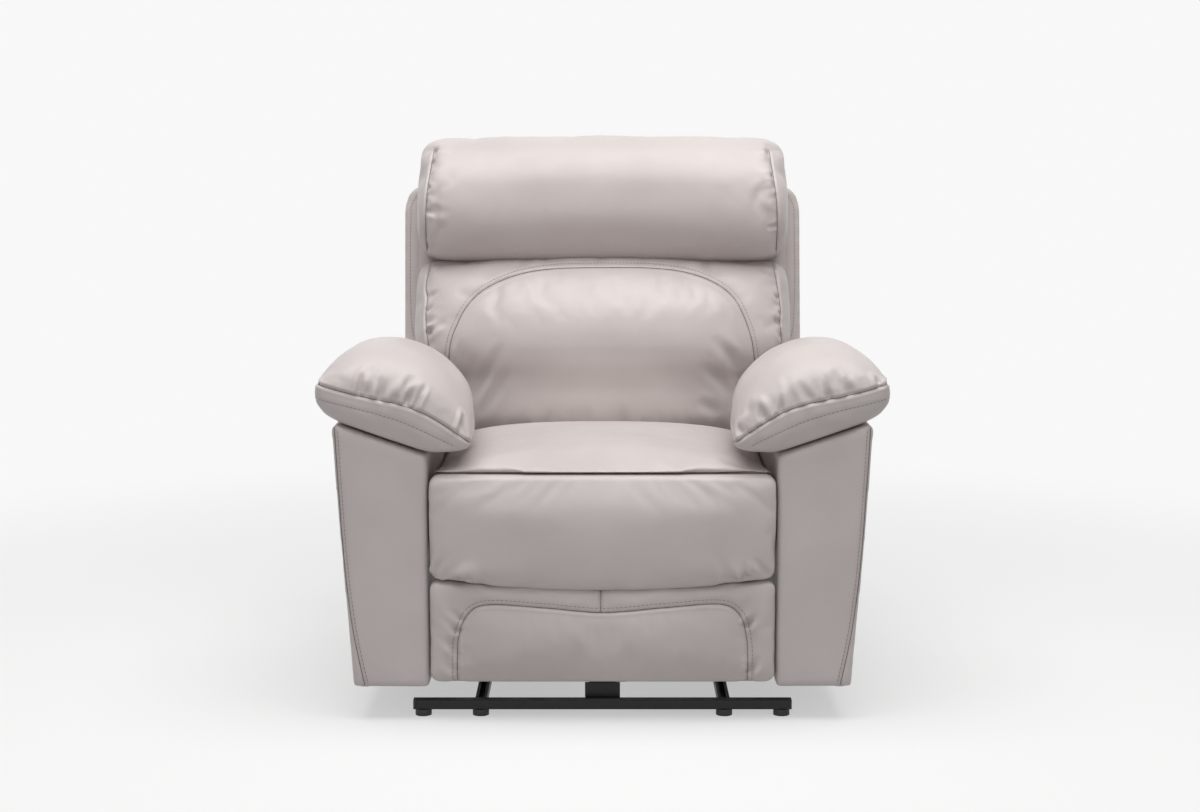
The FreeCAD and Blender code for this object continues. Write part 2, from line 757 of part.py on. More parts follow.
def make_arm_pad(side, sign):
    """Soft pad that sits on the sloping arm top, crowned, with a flat stitched front band."""
    inner = float(S.arm_gap / 2 - S.pad_overlap)
    outer = float(S.overall_width / 2)
    ledge = float(S.overall_width / 2 - S.pad_overhang)
    corner = float(S.arm_gap / 2)
    inner_top = float(S.seat_height + S.arm_above_seat + S.fit)
    slope = float(S.arm_top_rise) / (ledge - corner)
    tip = float(S.pad_tip)
    tip_z = inner_top + tip
    seam_z = tip_z + float(S.arm_top_rise + S.pad_band)

    def over_seam(x, height):
        return tip_z + (seam_z - tip_z) * (x - inner) / (outer - inner) + height

    def section(y, rise, inset):
        crown = float(S.pad_crown) * rise
        brow_x = outer - inset - 3 * tip
        crest_x = inner + float(S.pad_crest_share) * (outer - inner)
        shoulder_x = inner + float(S.pad_shoulder_share) * (outer - inner)
        lift = float(S.pad_under_lift) * inset
        side_rise = float(S.pad_side_fullness) * crown
        brow_rise = float(S.pad_brow_fullness) * crown
        shoulder_rise = float(S.pad_shoulder_fullness) * crown + OVERRUN
        low_in = (sign * (inner + tip + inset), y, inner_top + lift)
        ledge_in = (sign * corner, y, inner_top + lift)
        low_out = (sign * (ledge - inset), y, inner_top + slope * (ledge - inset - corner) + lift)
        side_mid = (sign * (outer - inset), y, seam_z - 2 * tip)
        side_top = (sign * (outer - inset - tip), y, over_seam(outer - tip, side_rise))
        brow = (sign * brow_x, y, over_seam(brow_x, brow_rise))
        crest = (sign * crest_x, y, over_seam(crest_x, crown))
        shoulder = (sign * shoulder_x, y, over_seam(shoulder_x, shoulder_rise))
        nose = (sign * (inner + inset), y, tip_z + lift)
        return outline([(low_in, ledge_in), (ledge_in, low_out), (low_out, side_mid),
                        (side_mid, side_top), (side_top, brow, crest), (crest, shoulder, nose),
                        (nose, low_in)])

    start = float(front_y + S.pad_front_setback)
    length = float(S.pad_length)
    stations = []
    for part in range(PAD_FRONT_STEPS + 1):
        share = part / PAD_FRONT_STEPS
        stations.append((float(S.pad_front_run) * share ** 2, math.sin(share * math.pi / 2),
                         float(S.pad_front_draw) * (1 - share) ** 4))
    low_rear = float(S.pad_rear_fullness)
    for part in range(PAD_REAR_STEPS + 1):
        share = 1 - part / PAD_REAR_STEPS
        stations.append((length - float(S.pad_rear_run) * share ** 2,
                         low_rear + (1 - low_rear) * math.sin(share * math.pi / 2),
                         float(S.pad_rear_draw) * (1 - share) ** 2))
    skin = loft([section(start + step, rise, inset) for step, rise, inset in stations])
    node(f"arm_pad_{side}", free_form(f"arm_pad_{side}", skin))


def make_switch():
    """Plate with two push buttons on the outer face of the sitter's right arm."""
    rise = S.seat_height + S.arm_above_seat + S.arm_top_rise - S.arm_bottom
    lean = math.atan2(float(S.arm_lean), float(rise))
    height = S.seat_height + S.switch_above_seat
    depth_in = (float(height) - float(S.arm_bottom)) * math.tan(lean)
    face_x = -(float(S.overall_width / 2 - S.pad_overhang - S.arm_lean) + depth_in)
    outward = Vector(-math.cos(lean), 0, -math.sin(lean))
    turn = Rotation(-Y_AXIS, Vector(-math.sin(lean), 0, math.cos(lean)), outward, "ZXY")
    middle = Vector(face_x, float(front_y + S.switch_setback), float(height))
    frame = Placement(middle, turn)
    half = S.switch_length / 2
    tall = S.switch_height / 2
    step = S.button_spacing / 2
    clip = S.switch_corner
    outer = [(clip - half, -tall), (half - clip, -tall), (half, clip - tall), (half, tall - clip),
             (half - clip, tall), (clip - half, tall), (-half, tall - clip), (-half, clip - tall)]
    wide = S.button_length / 2
    high = S.button_height / 2
    gap = S.button_clearance
    windows = []
    for label, offset in (("open_button", step), ("close_button", -step)):
        window = [(offset - wide - gap, -high - gap), (offset + wide + gap, -high - gap),
                  (offset + wide + gap, high + gap), (offset - wide - gap, high + gap)]
        windows.append(window)
        node(label, box(label, (S.button_length, S.button_height, S.button_depth),
                        (offset - wide, -high, S.button_floor), frame))
    node("switch_plate", prism("switch_plate", "XY_Plane", outer, S.switch_depth, frame, windows=windows))


def stud(name, start, length, pivot, sign):
    """Round pivot stud along X that starts at |x| and goes outwards."""
    return rod(name, S.pin_diameter / 2, length, (sign * start, pivot[0], pivot[1]), sign * X_AXIS)


def make_seat_frame():
    """Steel side plates on glide shoes, the wooden seat box between them, and its springs."""
    frame_front = front_y + S.seat_frame_setback
    frame_rear = frame_front + S.seat_frame_length
    plate_top = seat_frame_top - S.plate_drop
    plate_low = drive_pivot[1] - S.plate_margin
    plate_front = idler_pivot[0] - S.plate_margin
    plate_rear = as_size(recline_pivot[0]) + S.plate_margin
    points = [(plate_front, plate_low), (plate_rear, plate_low), (plate_rear, plate_top),
              (plate_front, plate_top)]
    inner_reach = 2 * S.plate_thickness + S.layer_gap
    outer_reach = S.plate_thickness + S.pivot_gap + S.plate_thickness
    shoes = []
    hangers = []
    wide = S.tube_width / 2 - S.tube_wall - S.fit
    slot = S.track_slot / 2 - S.fit
    floor = S.glide_height + S.tube_wall + S.fit
    roof = rail_top - S.tube_wall - S.fit
    foot_low = rail_top + S.hanger_lift
    leg_x = plate_x + S.plate_thickness
    for side, sign in SIDES:
        left_face = plate_x if sign == RIGHT else -plate_x - S.plate_thickness
        plate = prism(f"seat_plate_{side}", "YZ_Plane", points, S.plate_thickness, at(left_face, 0, 0))
        round_edges(plate, S.plate_margin / 2, runs_along(X_AXIS))
        studs = [stud(f"drive_stud_{side}", link_x, inner_reach, drive_pivot, sign),
                 stud(f"idler_stud_{side}", link_x, inner_reach, idler_pivot, sign),
                 stud(f"recline_stud_{side}", plate_x, outer_reach, recline_pivot, sign)]
        node(f"side_plate_{side}", fuse(f"side_plate_{side}", [plate] + studs))
        for hanger_y in (front_y + S.front_hanger_setback, front_y + S.front_hanger_setback + S.hanger_span):
            edge = hanger_y + S.hanger_width
            leg = [(leg_x, foot_low + S.plate_thickness), (track_x - wide, foot_low + S.plate_thickness),
                   (track_x - wide, foot_low), (leg_x + S.plate_thickness, foot_low),
                   (leg_x + S.plate_thickness, seat_frame_top - S.seat_rail_height),
                   (leg_x, seat_frame_top - S.seat_rail_height)]
            hangers.append(prism(f"hanger_{side}", "XZ_Plane", [(sign * x, z) for x, z in leg],
                                 S.hanger_width, at(0, edge, 0)))
            shoe = [(-wide, floor), (wide, floor), (wide, roof), (slot, roof), (slot, foot_low),
                    (-slot, foot_low), (-slot, roof), (-wide, roof)]
            shoes.append(prism(f"shoe_{side}", "XZ_Plane", [(sign * track_x + x, z) for x, z in shoe],
                               S.hanger_width, at(0, edge, 0)))
        rail_x = leg_x if sign == RIGHT else -leg_x - S.seat_rail_width
        node(f"seat_rail_{side}", box(f"seat_rail_{side}", (S.seat_rail_width, S.seat_frame_length,
             S.seat_rail_height), (rail_x, frame_front, seat_frame_top - S.seat_rail_height)))
    node("glide_hangers", group("glide_hangers", hangers))
    node("glide_shoes", group("glide_shoes", shoes))

    size = (2 * leg_x, S.seat_rail_width, S.seat_front_rail_height)
    corner = (-leg_x, frame_front, seat_frame_top - S.seat_front_rail_height)
    node("seat_front_rail", box("seat_front_rail", size, corner))
    size = (2 * plate_x, S.seat_rail_width, S.seat_rail_height)
    corner = (-plate_x, frame_rear - S.seat_rail_width, seat_frame_top - S.seat_rail_height)
    node("seat_rear_rail", box("seat_rear_rail", size, corner))
    tube_start = (-plate_x, frame_rear + S.cross_tube_inset, plate_low + S.cross_tube_diameter / 2)
    node("seat_cross_tube", pipe("seat_cross_tube", S.cross_tube_diameter / 2, S.cross_tube_wall,
                                 2 * plate_x, tube_start, X_AXIS))
    make_springs(float(frame_front + S.spring_inset), float(frame_rear - S.spring_inset))


def make_springs(start, end):
    """Sinuous springs: flat zigzag wires that run from the front rail to the rear rail."""
    wire = float(S.spring_wire)
    reach = float(S.spring_width) / 2
    waves = int((end - start) / float(S.spring_pitch))
    pitch = (end - start) / waves
    springs = []
    for place in range(SPRING_COUNT):
        middle = (place - SPRING_COUNT // 2) * float(S.spring_step)
        centre = [(middle, start)]
        for wave in range(waves):
            swing = reach if wave % 2 else -reach
            centre.append((middle + swing, start + (wave + 0.3) * pitch))
            centre.append((middle + swing, start + (wave + 0.7) * pitch))
        centre.append((middle, end))
        springs.append(free_form(f"spring_{place}", ribbon(centre, wire, float(seat_frame_top))))
    node("seat_springs", group("seat_springs", springs))


def ribbon(centre, wire, low):
    """Flat bent wire of square section along a line of points, with mitred corners."""
    left = []
    right = []
    for index, point in enumerate(centre):
        before = Vector(*centre[max(index - 1, 0)], 0)
        after = Vector(*centre[min(index + 1, len(centre) - 1)], 0)
        here = Vector(*point, 0)
        arms = [arm.normalize() for arm in (here - before, after - here) if arm.Length > 0]
        run = (arms[0] + arms[-1]).normalize()
        stretch = wire / 2 / max(run.dot(arms[0]), MITRE_LIMIT)
        aside = Vector(-run.y, run.x, 0) * stretch
        left.append(here + aside)
        right.append(here - aside)
    corners = [Vector(point.x, point.y, low) for point in left + right[::-1]]
    face = Part.Face(Part.makePolygon(corners + corners[:1]))
    return face.extrude(Vector(0, 0, wire))


def make_seat_cushion():
    """Seat cushion with a crowned top, soft sides and a nose that reaches over the footrest."""
    back = float(front_y + S.seat_cushion_front_setback + S.seat_cushion_length)
    front = float(front_y + S.seat_cushion_front_setback)
    low = float(seat_frame_top + S.spring_wire + S.fit)
    welt = float(S.seat_height)
    top = welt + float(S.seat_crown)
    nose = front - float(S.seat_nose)
    half = float(seat_half)
    roll = float(S.seat_edge_roll)
    shoulder = top - float(S.seat_side_fall + S.seat_end_fall)

    a = (-half, back, low)
    b = (-half, front, low)
    c = (-half, front, welt - float(S.seat_throat))
    d = (-half, nose, welt)
    e = (-half, nose + float(S.seat_lip_run), welt + float(S.seat_lip_rise))
    f = (-half, nose + float(S.seat_brow_run), top - float(S.seat_brow_fall))
    g = (-half, (nose + back) / 2, top)
    h = (-half, back, top - float(S.seat_rear_fall))
    side_view = swept([(a, b), (b, c), (c, d), (d, e, f), (f, g, h), (h, a)], (2 * half, 0, 0))

    a = (-half + roll, back, low)
    b = (-half, back, low + roll)
    c = (-half, back, shoulder)
    d = (half, back, shoulder)
    e = (half, back, low + roll)
    f = (half - roll, back, low)
    crest = (0, back, top)
    front_view = swept([(a, b), (b, c), (c, crest, d), (d, e), (e, f), (f, a)], (0, nose - back, 0))

    a = (-half, back, low)
    b = (-half, nose + roll, low)
    c = (half, nose + roll, low)
    d = (half, back, low)
    plan = swept([(a, b), (b, (0, nose, low), c), (c, d), (d, a)], (0, 0, top - low))
    node("seat_cushion", free_form("seat_cushion", side_view.common(front_view).common(plan)))


def make_footrest_links(side, sign):
    """One side of the lattice: drive and idler links, then the reach and guide links inside them."""
    hole = S.pin_diameter + 2 * S.pin_clearance
    outer = link_x if sign == RIGHT else -link_x - S.plate_thickness
    inner = reach_x if sign == RIGHT else -reach_x - S.plate_thickness
    across = 2 * S.plate_thickness + S.layer_gap
    drive = link_bar(f"drive_bar_{side}", swing_length, S.link_width, S.plate_thickness,
                     along_link(outer, drive_pivot, reach_pivot), [0], hole)
    studs = [stud(f"knee_stud_{side}", reach_x, across, reach_pivot, sign),
             stud(f"guide_stud_{side}", reach_x, across, guide_pivot, sign)]
    node(f"drive_link_{side}", fuse(f"drive_link_{side}", [drive] + studs))
    idler = link_bar(f"idler_link_{side}", swing_length, S.link_width, S.plate_thickness,
                     along_link(outer, idler_pivot, idler_end), [0, swing_length], hole)
    node(f"idler_link_{side}", idler)
    reach = link_bar(f"reach_bar_{side}", reach_length, S.link_width, S.plate_thickness,
                     along_link(inner, reach_pivot, toe_pivot), [0], hole)
    studs = [stud(f"idler_end_stud_{side}", reach_x, across, idler_end, sign),
             stud(f"toe_stud_{side}", reach_x, across, toe_pivot, sign)]
    node(f"reach_link_{side}", fuse(f"reach_link_{side}", [reach] + studs))
    guide = link_bar(f"guide_bar_{side}", reach_length, S.link_width, S.plate_thickness,
                     along_link(inner, guide_pivot, guide_end), [0], hole)
    end_stud = stud(f"guide_end_stud_{side}", reach_x, across, guide_end, sign)
    node(f"guide_link_{side}", fuse(f"guide_link_{side}", [guide, end_stud]))


def make_torque_tube():
    """Tube that ties both drive links together, with the lever that the drive nut pushes."""
    tube = pipe("torque_tube", S.torque_tube_diameter / 2, S.torque_tube_wall, 2 * link_x,
                (-link_x, *drive_pivot), X_AXIS)
    node("torque_tube", tube)
    place = along_link(-S.lever_thickness / 2, drive_pivot, lever_tip)
    wide = S.lever_width / 2
    slim = S.lever_tip_width / 2
    points = [(-wide, -wide), (S.lever_length + slim, -slim), (S.lever_length + slim, slim), (-wide, wide)]
    bar = prism("lever_bar", "XY_Plane", points, S.lever_thickness, place)
    seat = rod("lever_seat", S.torque_tube_diameter / 2, S.lever_thickness,
               (-S.lever_thickness / 2, *drive_pivot), X_AXIS)
    reach = S.yoke_gap / 2 + S.yoke_thickness + S.pin_end
    pin = rod("lever_pin", S.pin_diameter / 2, 2 * reach, (-reach, *lever_tip), X_AXIS)
    node("drive_lever", fuse("drive_lever", [cut("lever_arm", bar, seat), pin]))


def make_footrest():
    """Board with two soft pads, carried by a bracket on each side."""
    pad_back = front_y + S.footrest_pad_depth
    board_back = pad_back + S.footrest_board_depth
    top = S.seat_height - S.footrest_top_gap
    half = seat_half
    edge = S.footrest_board_depth
    size = (2 * (half - edge), S.footrest_board_depth, top - S.footrest_bottom - 2 * edge)
    node("footrest_board", box("footrest_board", size, (edge - half, pad_back, S.footrest_bottom + edge)))

    hole = S.pin_diameter + 2 * S.pin_clearance
    margin = S.link_width / 2
    low = toe_pivot[1] - 2 * margin
    high = guide_end[1] + margin
    for side, sign in SIDES:
        left_face = link_x if sign == RIGHT else -link_x - S.plate_thickness
        points = [(board_back, low), (toe_pivot[0] + margin, toe_pivot[1] - margin),
                  (toe_pivot[0] + margin, toe_pivot[1] + margin), (guide_end[0] + margin, high),
                  (board_back, high)]
        plate = prism(f"footrest_plate_{side}", "YZ_Plane", points, S.plate_thickness, at(left_face, 0, 0),
                      [(toe_pivot, hole), (guide_end, hole)])
        inner = link_x + S.plate_thickness
        left_face = inner if sign == RIGHT else -inner - S.footrest_flange
        flange = box(f"footrest_flange_{side}", (S.footrest_flange, S.bracket_thickness, high - low),
                     (left_face, board_back, low))
        node(f"footrest_bracket_{side}", fuse(f"footrest_bracket_{side}", [plate, flange]))

    crease = float(S.footrest_crease)
    gap = float(S.crease_gap) / 2
    lift = float(S.crease_lift)
    bottom = float(S.footrest_bottom)
    make_footrest_pad("upper_footrest_pad", (crease + gap, crease + gap + lift), (float(top), float(top)),
                      float(front_y), (S.upper_low_tuck, S.upper_high_tuck))
    make_footrest_pad("lower_footrest_pad", (bottom, bottom), (crease - gap, crease - gap + lift),
                      float(front_y + S.lower_setback), (S.lower_low_tuck, S.lower_high_tuck))


def make_footrest_pad(label, lows, highs, face, tucks):
    """Soft panel of the footrest: flat back, bulging front, curved crease edge, drawn-in sides.
    Lows and highs are the bottom and top edges, each at the middle and at the ends."""
    back = float(front_y + S.footrest_pad_depth - S.fit)
    half = float(seat_half)
    roll = float(S.footrest_edge_roll)
    low_tuck, high_tuck = [float(tuck) for tuck in tucks]
    lip = float(S.footrest_lip)
    lip_run = float(S.footrest_lip_run)
    low = min(lows)
    high = max(highs)

    a = (-half, back, high)
    b = (-half, back, low)
    c = (-half, face + low_tuck + lip_run, low)
    d = (-half, face + low_tuck, low + lip)
    e = (-half, face, (low + high) / 2)
    f = (-half, face + high_tuck, high - lip)
    g = (-half, face + high_tuck + lip_run, high)
    side_view = swept([(a, b), (b, c), (c, d), (d, e, f), (f, g), (g, a)], (2 * half, 0, 0))

    def edge_line(left, right, heights):
        """Straight edge, or a shallow arc where the middle and the ends differ."""
        if heights[0] == heights[1]:
            return (left, right)
        return (left, (0, back, heights[0]), right)

    a = (roll - half, back, lows[1])
    b = (-half, back, lows[1] + roll)
    c = (-half, back, highs[1] - roll)
    d = (roll - half, back, highs[1])
    e = (half - roll, back, highs[1])
    f = (half, back, highs[1] - roll)
    g = (half, back, lows[1] + roll)
    h = (half - roll, back, lows[1])
    front_view = swept([(a, b), (b, c), (c, d), edge_line(d, e, highs), (e, f), (f, g), (g, h),
                        edge_line(h, a, lows)], (0, face - back, 0))

    drawn_in = face + float(S.footrest_edge_draw) * roll
    a = (-half, back, low)
    b = (-half, drawn_in, low)
    c = (half, drawn_in, low)
    d = (half, back, low)
    plan = swept([(a, b), (b, (0, face, low), c), (c, d), (d, a)], (0, 0, high - low))
    node(label, free_form(label, side_view.common(front_view).common(plan)))


def wing_outline(inset_low, inset_high, top):
    """T-shaped outline of the back: narrow between the arms, then flaring to the wings."""
    low = shell_half - inset_low
    wide = S.wing_half_width - inset_high
    step = S.wing_bottom + inset_high
    flare = step + S.wing_slope
    right = [(low, inset_low), (low, step), (wide, flare), (wide, top - inset_low)]
    return right + [(-x, z) for x, z in right[::-1]]


def make_back_frame():
    """Wooden stiles and rails inside the shell, webbing across them and the pivot brackets."""
    bracket_x = plate_x + S.plate_thickness + S.pivot_gap
    stile_x = bracket_x + S.plate_thickness
    front = -S.shell_depth + S.webbing_thickness + 2 * S.fit
    back = -S.shell_back_wall
    foot = S.shell_wall
    stiles = []
    brackets = []
    hole = S.pin_diameter + 2 * S.pin_clearance
    for side, sign in SIDES:
        left_face = stile_x if sign == RIGHT else -stile_x - S.stile_width
        size = (S.stile_width, back - front, S.stile_top - foot)
        stiles.append(box(f"stile_{side}", size, (left_face, front, foot), BACK))
        left_face = bracket_x if sign == RIGHT else -bracket_x - S.plate_thickness
        pivot = (as_size(recline_local.y), as_size(recline_local.z))
        reach = S.plate_margin
        points = [(pivot[0] - reach, pivot[1] - reach), (back - reach, foot + reach),
                  (back - reach, pivot[1] + 4 * reach), (pivot[0] - reach, pivot[1] + reach)]
        place = at(left_face, 0, 0, BACK)
        bracket = prism(f"back_bracket_{side}", "YZ_Plane", points, S.plate_thickness, place, [(pivot, hole)])
        brackets.append(bracket)
    node("back_stiles", group("back_stiles", stiles))
    node("back_brackets", group("back_brackets", brackets))

    rails = []
    straps = []
    inside = stile_x - S.plate_thickness - S.fit
    for index, low in enumerate((foot, S.wing_bottom, S.stile_top - S.back_rail_width)):
        reach = inside if index == 0 else stile_x
        size = (2 * reach, S.stile_width, S.back_rail_width)
        rails.append(box(f"back_rail_{index}", size, (-reach, back - S.stile_width, low), BACK))
    span = S.stile_top - S.lumbar_bottom
    reach = stile_x + S.stile_width
    for index in range(STRAP_COUNT):
        low = S.lumbar_bottom + span * (index + 0.5) / STRAP_COUNT - S.webbing_width / 2
        size = (2 * reach, S.webbing_thickness, S.webbing_width)
        straps.append(box(f"strap_{index}", size, (-reach, front - S.webbing_thickness, low), BACK))
    node("back_rails", group("back_rails", rails))
    node("back_webbing", group("back_webbing", straps))


def make_back_shell():
    """Leather-covered tray with wings, open to the front where the cushions sit."""
    zero = as_size(0)
    whole = wing_outline(zero, zero, S.shell_height)
    body = prism("shell_block", "XZ_Plane", whole, S.shell_depth, BACK)
    near_top = float(S.shell_height) - OVERRUN
    fore_aft = runs_along(Y_AXIS)
    round_edges(body, S.wing_round, lambda edge: edge.BoundBox.ZMin > near_top and fore_aft(edge))
    room = prism("shell_room", "XZ_Plane", wing_outline(S.shell_wall, S.wing_wall, S.shell_height),
                 S.shell_depth, at(0, -S.shell_back_wall, 0, BACK))
    node("back_shell", cut("back_shell", body, room))


def make_lumbar_cushion():
    """Lumbar cushion: narrow between the arms, wider above them, with a crowned, bulging front."""
    back = -float(S.shell_depth + S.fit)
    depth = float(S.lumbar_depth)
    low = float(S.lumbar_bottom)
    high = float(S.lumbar_top)
    shoulder = float(S.lumbar_shoulder)
    narrow = float(shell_half - S.lumbar_side_clearance)
    wide = float(S.lumbar_half_width)

    def section(up, half, share):
        front = back - depth * share
        side = back - depth * share * float(S.lumbar_side_share)
        bulge = half + float(S.lumbar_side_bulge)
        behind = half - float(S.lumbar_back_inset)
        ahead = half - float(S.lumbar_front_inset)
        a = (-behind, back, up)
        b = (behind, back, up)
        c = (ahead, side, up)
        d = (-ahead, side, up)
        right = (bulge, (back + side) / 2, up)
        left = (-bulge, (back + side) / 2, up)
        return outline([(a, b), (b, right), (right, c), (c, (0, front, up), d), (d, left), (left, a)])

    span = high - low
    # Height, half-width and share of the full depth at each level
    levels = ((low, narrow - 18, 0.78), (low + 5, narrow - 9, 0.84), (low + 16, narrow - 3, 0.9),
              (low + 0.12 * span, narrow, 0.95), (shoulder, narrow, 0.99),
              (shoulder + 14, narrow + 0.3 * (wide - narrow), 1.0),
              (shoulder + 34, narrow + 0.7 * (wide - narrow), 0.99), (shoulder + 54, wide - 8, 0.98),
              (shoulder + 78, wide, 0.96), (low + 0.72 * span, wide, 0.87), (high - 36, wide, 0.69),
              (high - 14, wide - 5, 0.59), (high - 4, wide - 12, 0.51), (high, wide - 24, 0.44))
    skin = loft([section(*level) for level in levels])
    node("lumbar_cushion", free_form("lumbar_cushion", skin, BACK))


def make_head_pillow():
    """Head pillow: a thick roll that hangs in front of the wings and folds back over the top."""
    back = -float(S.shell_depth + S.fit)
    depth = float(S.pillow_depth)
    low = float(S.pillow_bottom)
    high = float(S.pillow_top)
    half = float(S.pillow_half_width)
    ledge = float(S.shell_height + S.fit)
    rear = -float(S.shell_back_wall)

    def section(share):
        x = share * half
        inset = float(S.pillow_edge_roll) * end_roll(share, PILLOW_ROLL_START)
        draw = float(S.pillow_edge_draw) * inset
        front = back - depth + draw + float(S.pillow_front_fall) * share ** 2
        top = high - draw - float(S.pillow_top_fall) * share ** 2
        heel_y = rear - float(S.pillow_heel_setback) - inset / 2
        heel_z = ledge + float(S.pillow_heel_rise) - inset / 2
        a = (x, back, low + inset)
        b = (x, back - float(S.pillow_chin_share) * depth + inset, low + inset)
        c = (x, front + float(S.pillow_belly_share) * depth, (low + top) / 2 - float(S.pillow_belly_drop))
        d = (x, front + float(S.pillow_brow_share) * depth, top - float(S.pillow_brow_drop))
        e = (x, back - float(S.pillow_crest_share) * depth, top - float(S.pillow_crest_drop))
        f = (x, back + float(S.pillow_nape_share) * depth, top - float(S.pillow_nape_drop))
        g = (x, heel_y, heel_z)
        h = (x, rear - float(S.pillow_foot_setback) - inset / 3, ledge)
        k = (x, back, ledge)
        return outline([(a, b), (b, c, d), (d, e, f), (f, g), (g, h), (h, k), (k, a)])

    skin = loft([section(share) for share in SHARES])
    node("head_pillow", free_form("head_pillow", skin, BACK))


def check_model():
    """Stop before writing anything if a piece failed or is not a sound solid."""
    doc.recompute()
    for item in doc.Objects:
        if "Invalid" in item.State or "Error" in item.State:
            raise RuntimeError(f"{item.Name} did not build: {item.State}")
    for label, item in NODES.items():
        shape = item.Shape
        if shape.isNull() or not shape.isValid() or not shape.Solids:
            raise RuntimeError(f"{label} is not a sound solid")


def write_parts():
    """One file for each named piece."""
    os.makedirs("parts", exist_ok=True)
    for label, item in NODES.items():
        item.Shape.exportStep(f"parts/{label}.step")


make_floor_base()
make_drive_unit()
for side, sign in SIDES:
    make_arm(side, sign)
    make_arm_pad(side, sign)
make_switch()
make_seat_frame()
make_seat_cushion()
for side, sign in SIDES:
    make_footrest_links(side, sign)
make_torque_tube()
make_footrest()
make_back_frame()
make_back_shell()
make_lumbar_cushion()
make_head_pillow()
check_model()
write_parts()
print(f"{len(NODES)} pieces written")
for label, y_z in (("footrest hinge", hinge), ("drive pivot", drive_pivot), ("reach pivot", reach_pivot),
                   ("toe pivot", toe_pivot), ("idler pivot", idler_pivot), ("guide pivot", guide_pivot),
                   ("recline pivot", recline_pivot)):
    print(f"{label}: y {float(y_z[0]):.3f} z {float(y_z[1]):.3f}")
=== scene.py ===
# %% [markdown]
# # A leather recliner armchair, dressed
# The solid parts come from the drawing office as a fixed frame. This lesson puts the leather,
# the filling, the stitching and the metal finishes on that frame, one piece at a time.

# %% Load the frame
import json
import math
from collections import namedtuple
import bpy
import numpy as np
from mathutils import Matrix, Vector
from mathutils.bvhtree import BVHTree


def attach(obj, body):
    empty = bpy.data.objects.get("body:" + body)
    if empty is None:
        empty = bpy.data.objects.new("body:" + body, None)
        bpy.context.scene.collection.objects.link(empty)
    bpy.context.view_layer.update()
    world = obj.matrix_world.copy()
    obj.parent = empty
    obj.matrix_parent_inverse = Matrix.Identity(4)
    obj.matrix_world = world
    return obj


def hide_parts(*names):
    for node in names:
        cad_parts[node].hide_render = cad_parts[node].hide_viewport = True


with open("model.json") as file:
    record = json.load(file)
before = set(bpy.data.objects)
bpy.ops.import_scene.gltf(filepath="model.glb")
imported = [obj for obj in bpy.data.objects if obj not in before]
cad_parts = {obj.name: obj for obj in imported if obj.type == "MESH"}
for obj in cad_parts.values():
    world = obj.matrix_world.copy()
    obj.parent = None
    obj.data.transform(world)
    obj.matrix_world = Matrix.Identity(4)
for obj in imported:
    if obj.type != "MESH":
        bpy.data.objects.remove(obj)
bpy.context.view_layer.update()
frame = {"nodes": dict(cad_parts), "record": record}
nodes = frame["nodes"]
scene = bpy.context.scene

# %% [markdown]
# A studio photograph of furniture is taken with a longish lens from about chest height, a few
# metres back, so that the arms don't spread. The camera here stands where the photograph's did.

# %% Camera
LENS_MM = 64.4
SENSOR_MM = 36.0
CAMERA_PLACE = (0.0, -3.97, 1.0)
CAMERA_PITCH = math.radians(90 - 7.46)
SIDE_SHIFT = -2.5 / 1200
lens = bpy.data.cameras.new("studio_camera")
lens.lens = LENS_MM
lens.sensor_width = SENSOR_MM
lens.shift_x = SIDE_SHIFT
camera = bpy.data.objects.new("studio_camera", lens)
camera.location = CAMERA_PLACE
camera.rotation_euler = (CAMERA_PITCH, 0, 0)
scene.collection.objects.link(camera)
scene.camera = camera
print("camera at", CAMERA_PLACE, "with a", LENS_MM, "mm lens")

# %% [markdown]
# Pale leather needs broad, soft light, or every fold turns into a hard line. One large lamp hangs
# over the front of the chair, a weaker one stands in front, and the white room fills the rest.

# %% Lamps
LAMP_AIM = (0.0, 0.0, 0.5)
OVERHEAD_WATTS = 93
FRONT_WATTS = 15


def soft_lamp(name, place, size, watts):
    """Hangs one broad soft lamp that points at the chair."""
    light = bpy.data.lights.new(name, "AREA")
    light.shape = "RECTANGLE"
    light.size, light.size_y = size
    light.energy = watts
    lamp = bpy.data.objects.new(name, light)
    lamp.location = place
    aim = Vector(LAMP_AIM) - Vector(place)
    lamp.rotation_euler = aim.to_track_quat("-Z", "Y").to_euler()
    scene.collection.objects.link(lamp)


soft_lamp("overhead_lamp", place=(0.0, -0.7, 3.3), size=(3.4, 2.6), watts=OVERHEAD_WATTS)
soft_lamp("front_lamp", place=(0.0, -4.6, 2.4), size=(3.6, 1.8), watts=FRONT_WATTS)
print("two lamps of", OVERHEAD_WATTS, "and", FRONT_WATTS, "watts")

# %% [markdown]
# The room is plain white. Whatever is seen of it, directly or in a shiny part, is nearly white,
# while the light that it gives is much weaker, so that the folds keep their shadows.

# %% Room
BACKDROP = (0.94, 0.94, 0.94)
ROOM_TINT = (1.0, 0.99, 0.98)
ROOM_LIGHT = 0.34


def add_node(tree, kind, values, sources):
    """Adds one node, with plain values on some of its sockets and links into others."""
    node = tree.nodes.new(kind)
    for socket, value in values.items():
        node.inputs[socket].default_value = value
    for socket, source in sources.items():
        tree.links.new(source, node.inputs[socket])
    return node


def seen_rays(tree):
    """One for a ray from the camera, through glass or off a gloss, and nought for any other."""
    kind = tree.nodes.new("ShaderNodeLightPath")
    either = kind.outputs["Is Camera Ray"]
    for other in ("Is Transmission Ray", "Is Glossy Ray"):
        larger = add_node(tree, "ShaderNodeMath", {}, {0: either, 1: kind.outputs[other]})
        larger.operation = "MAXIMUM"
        either = larger.outputs[0]
    return either


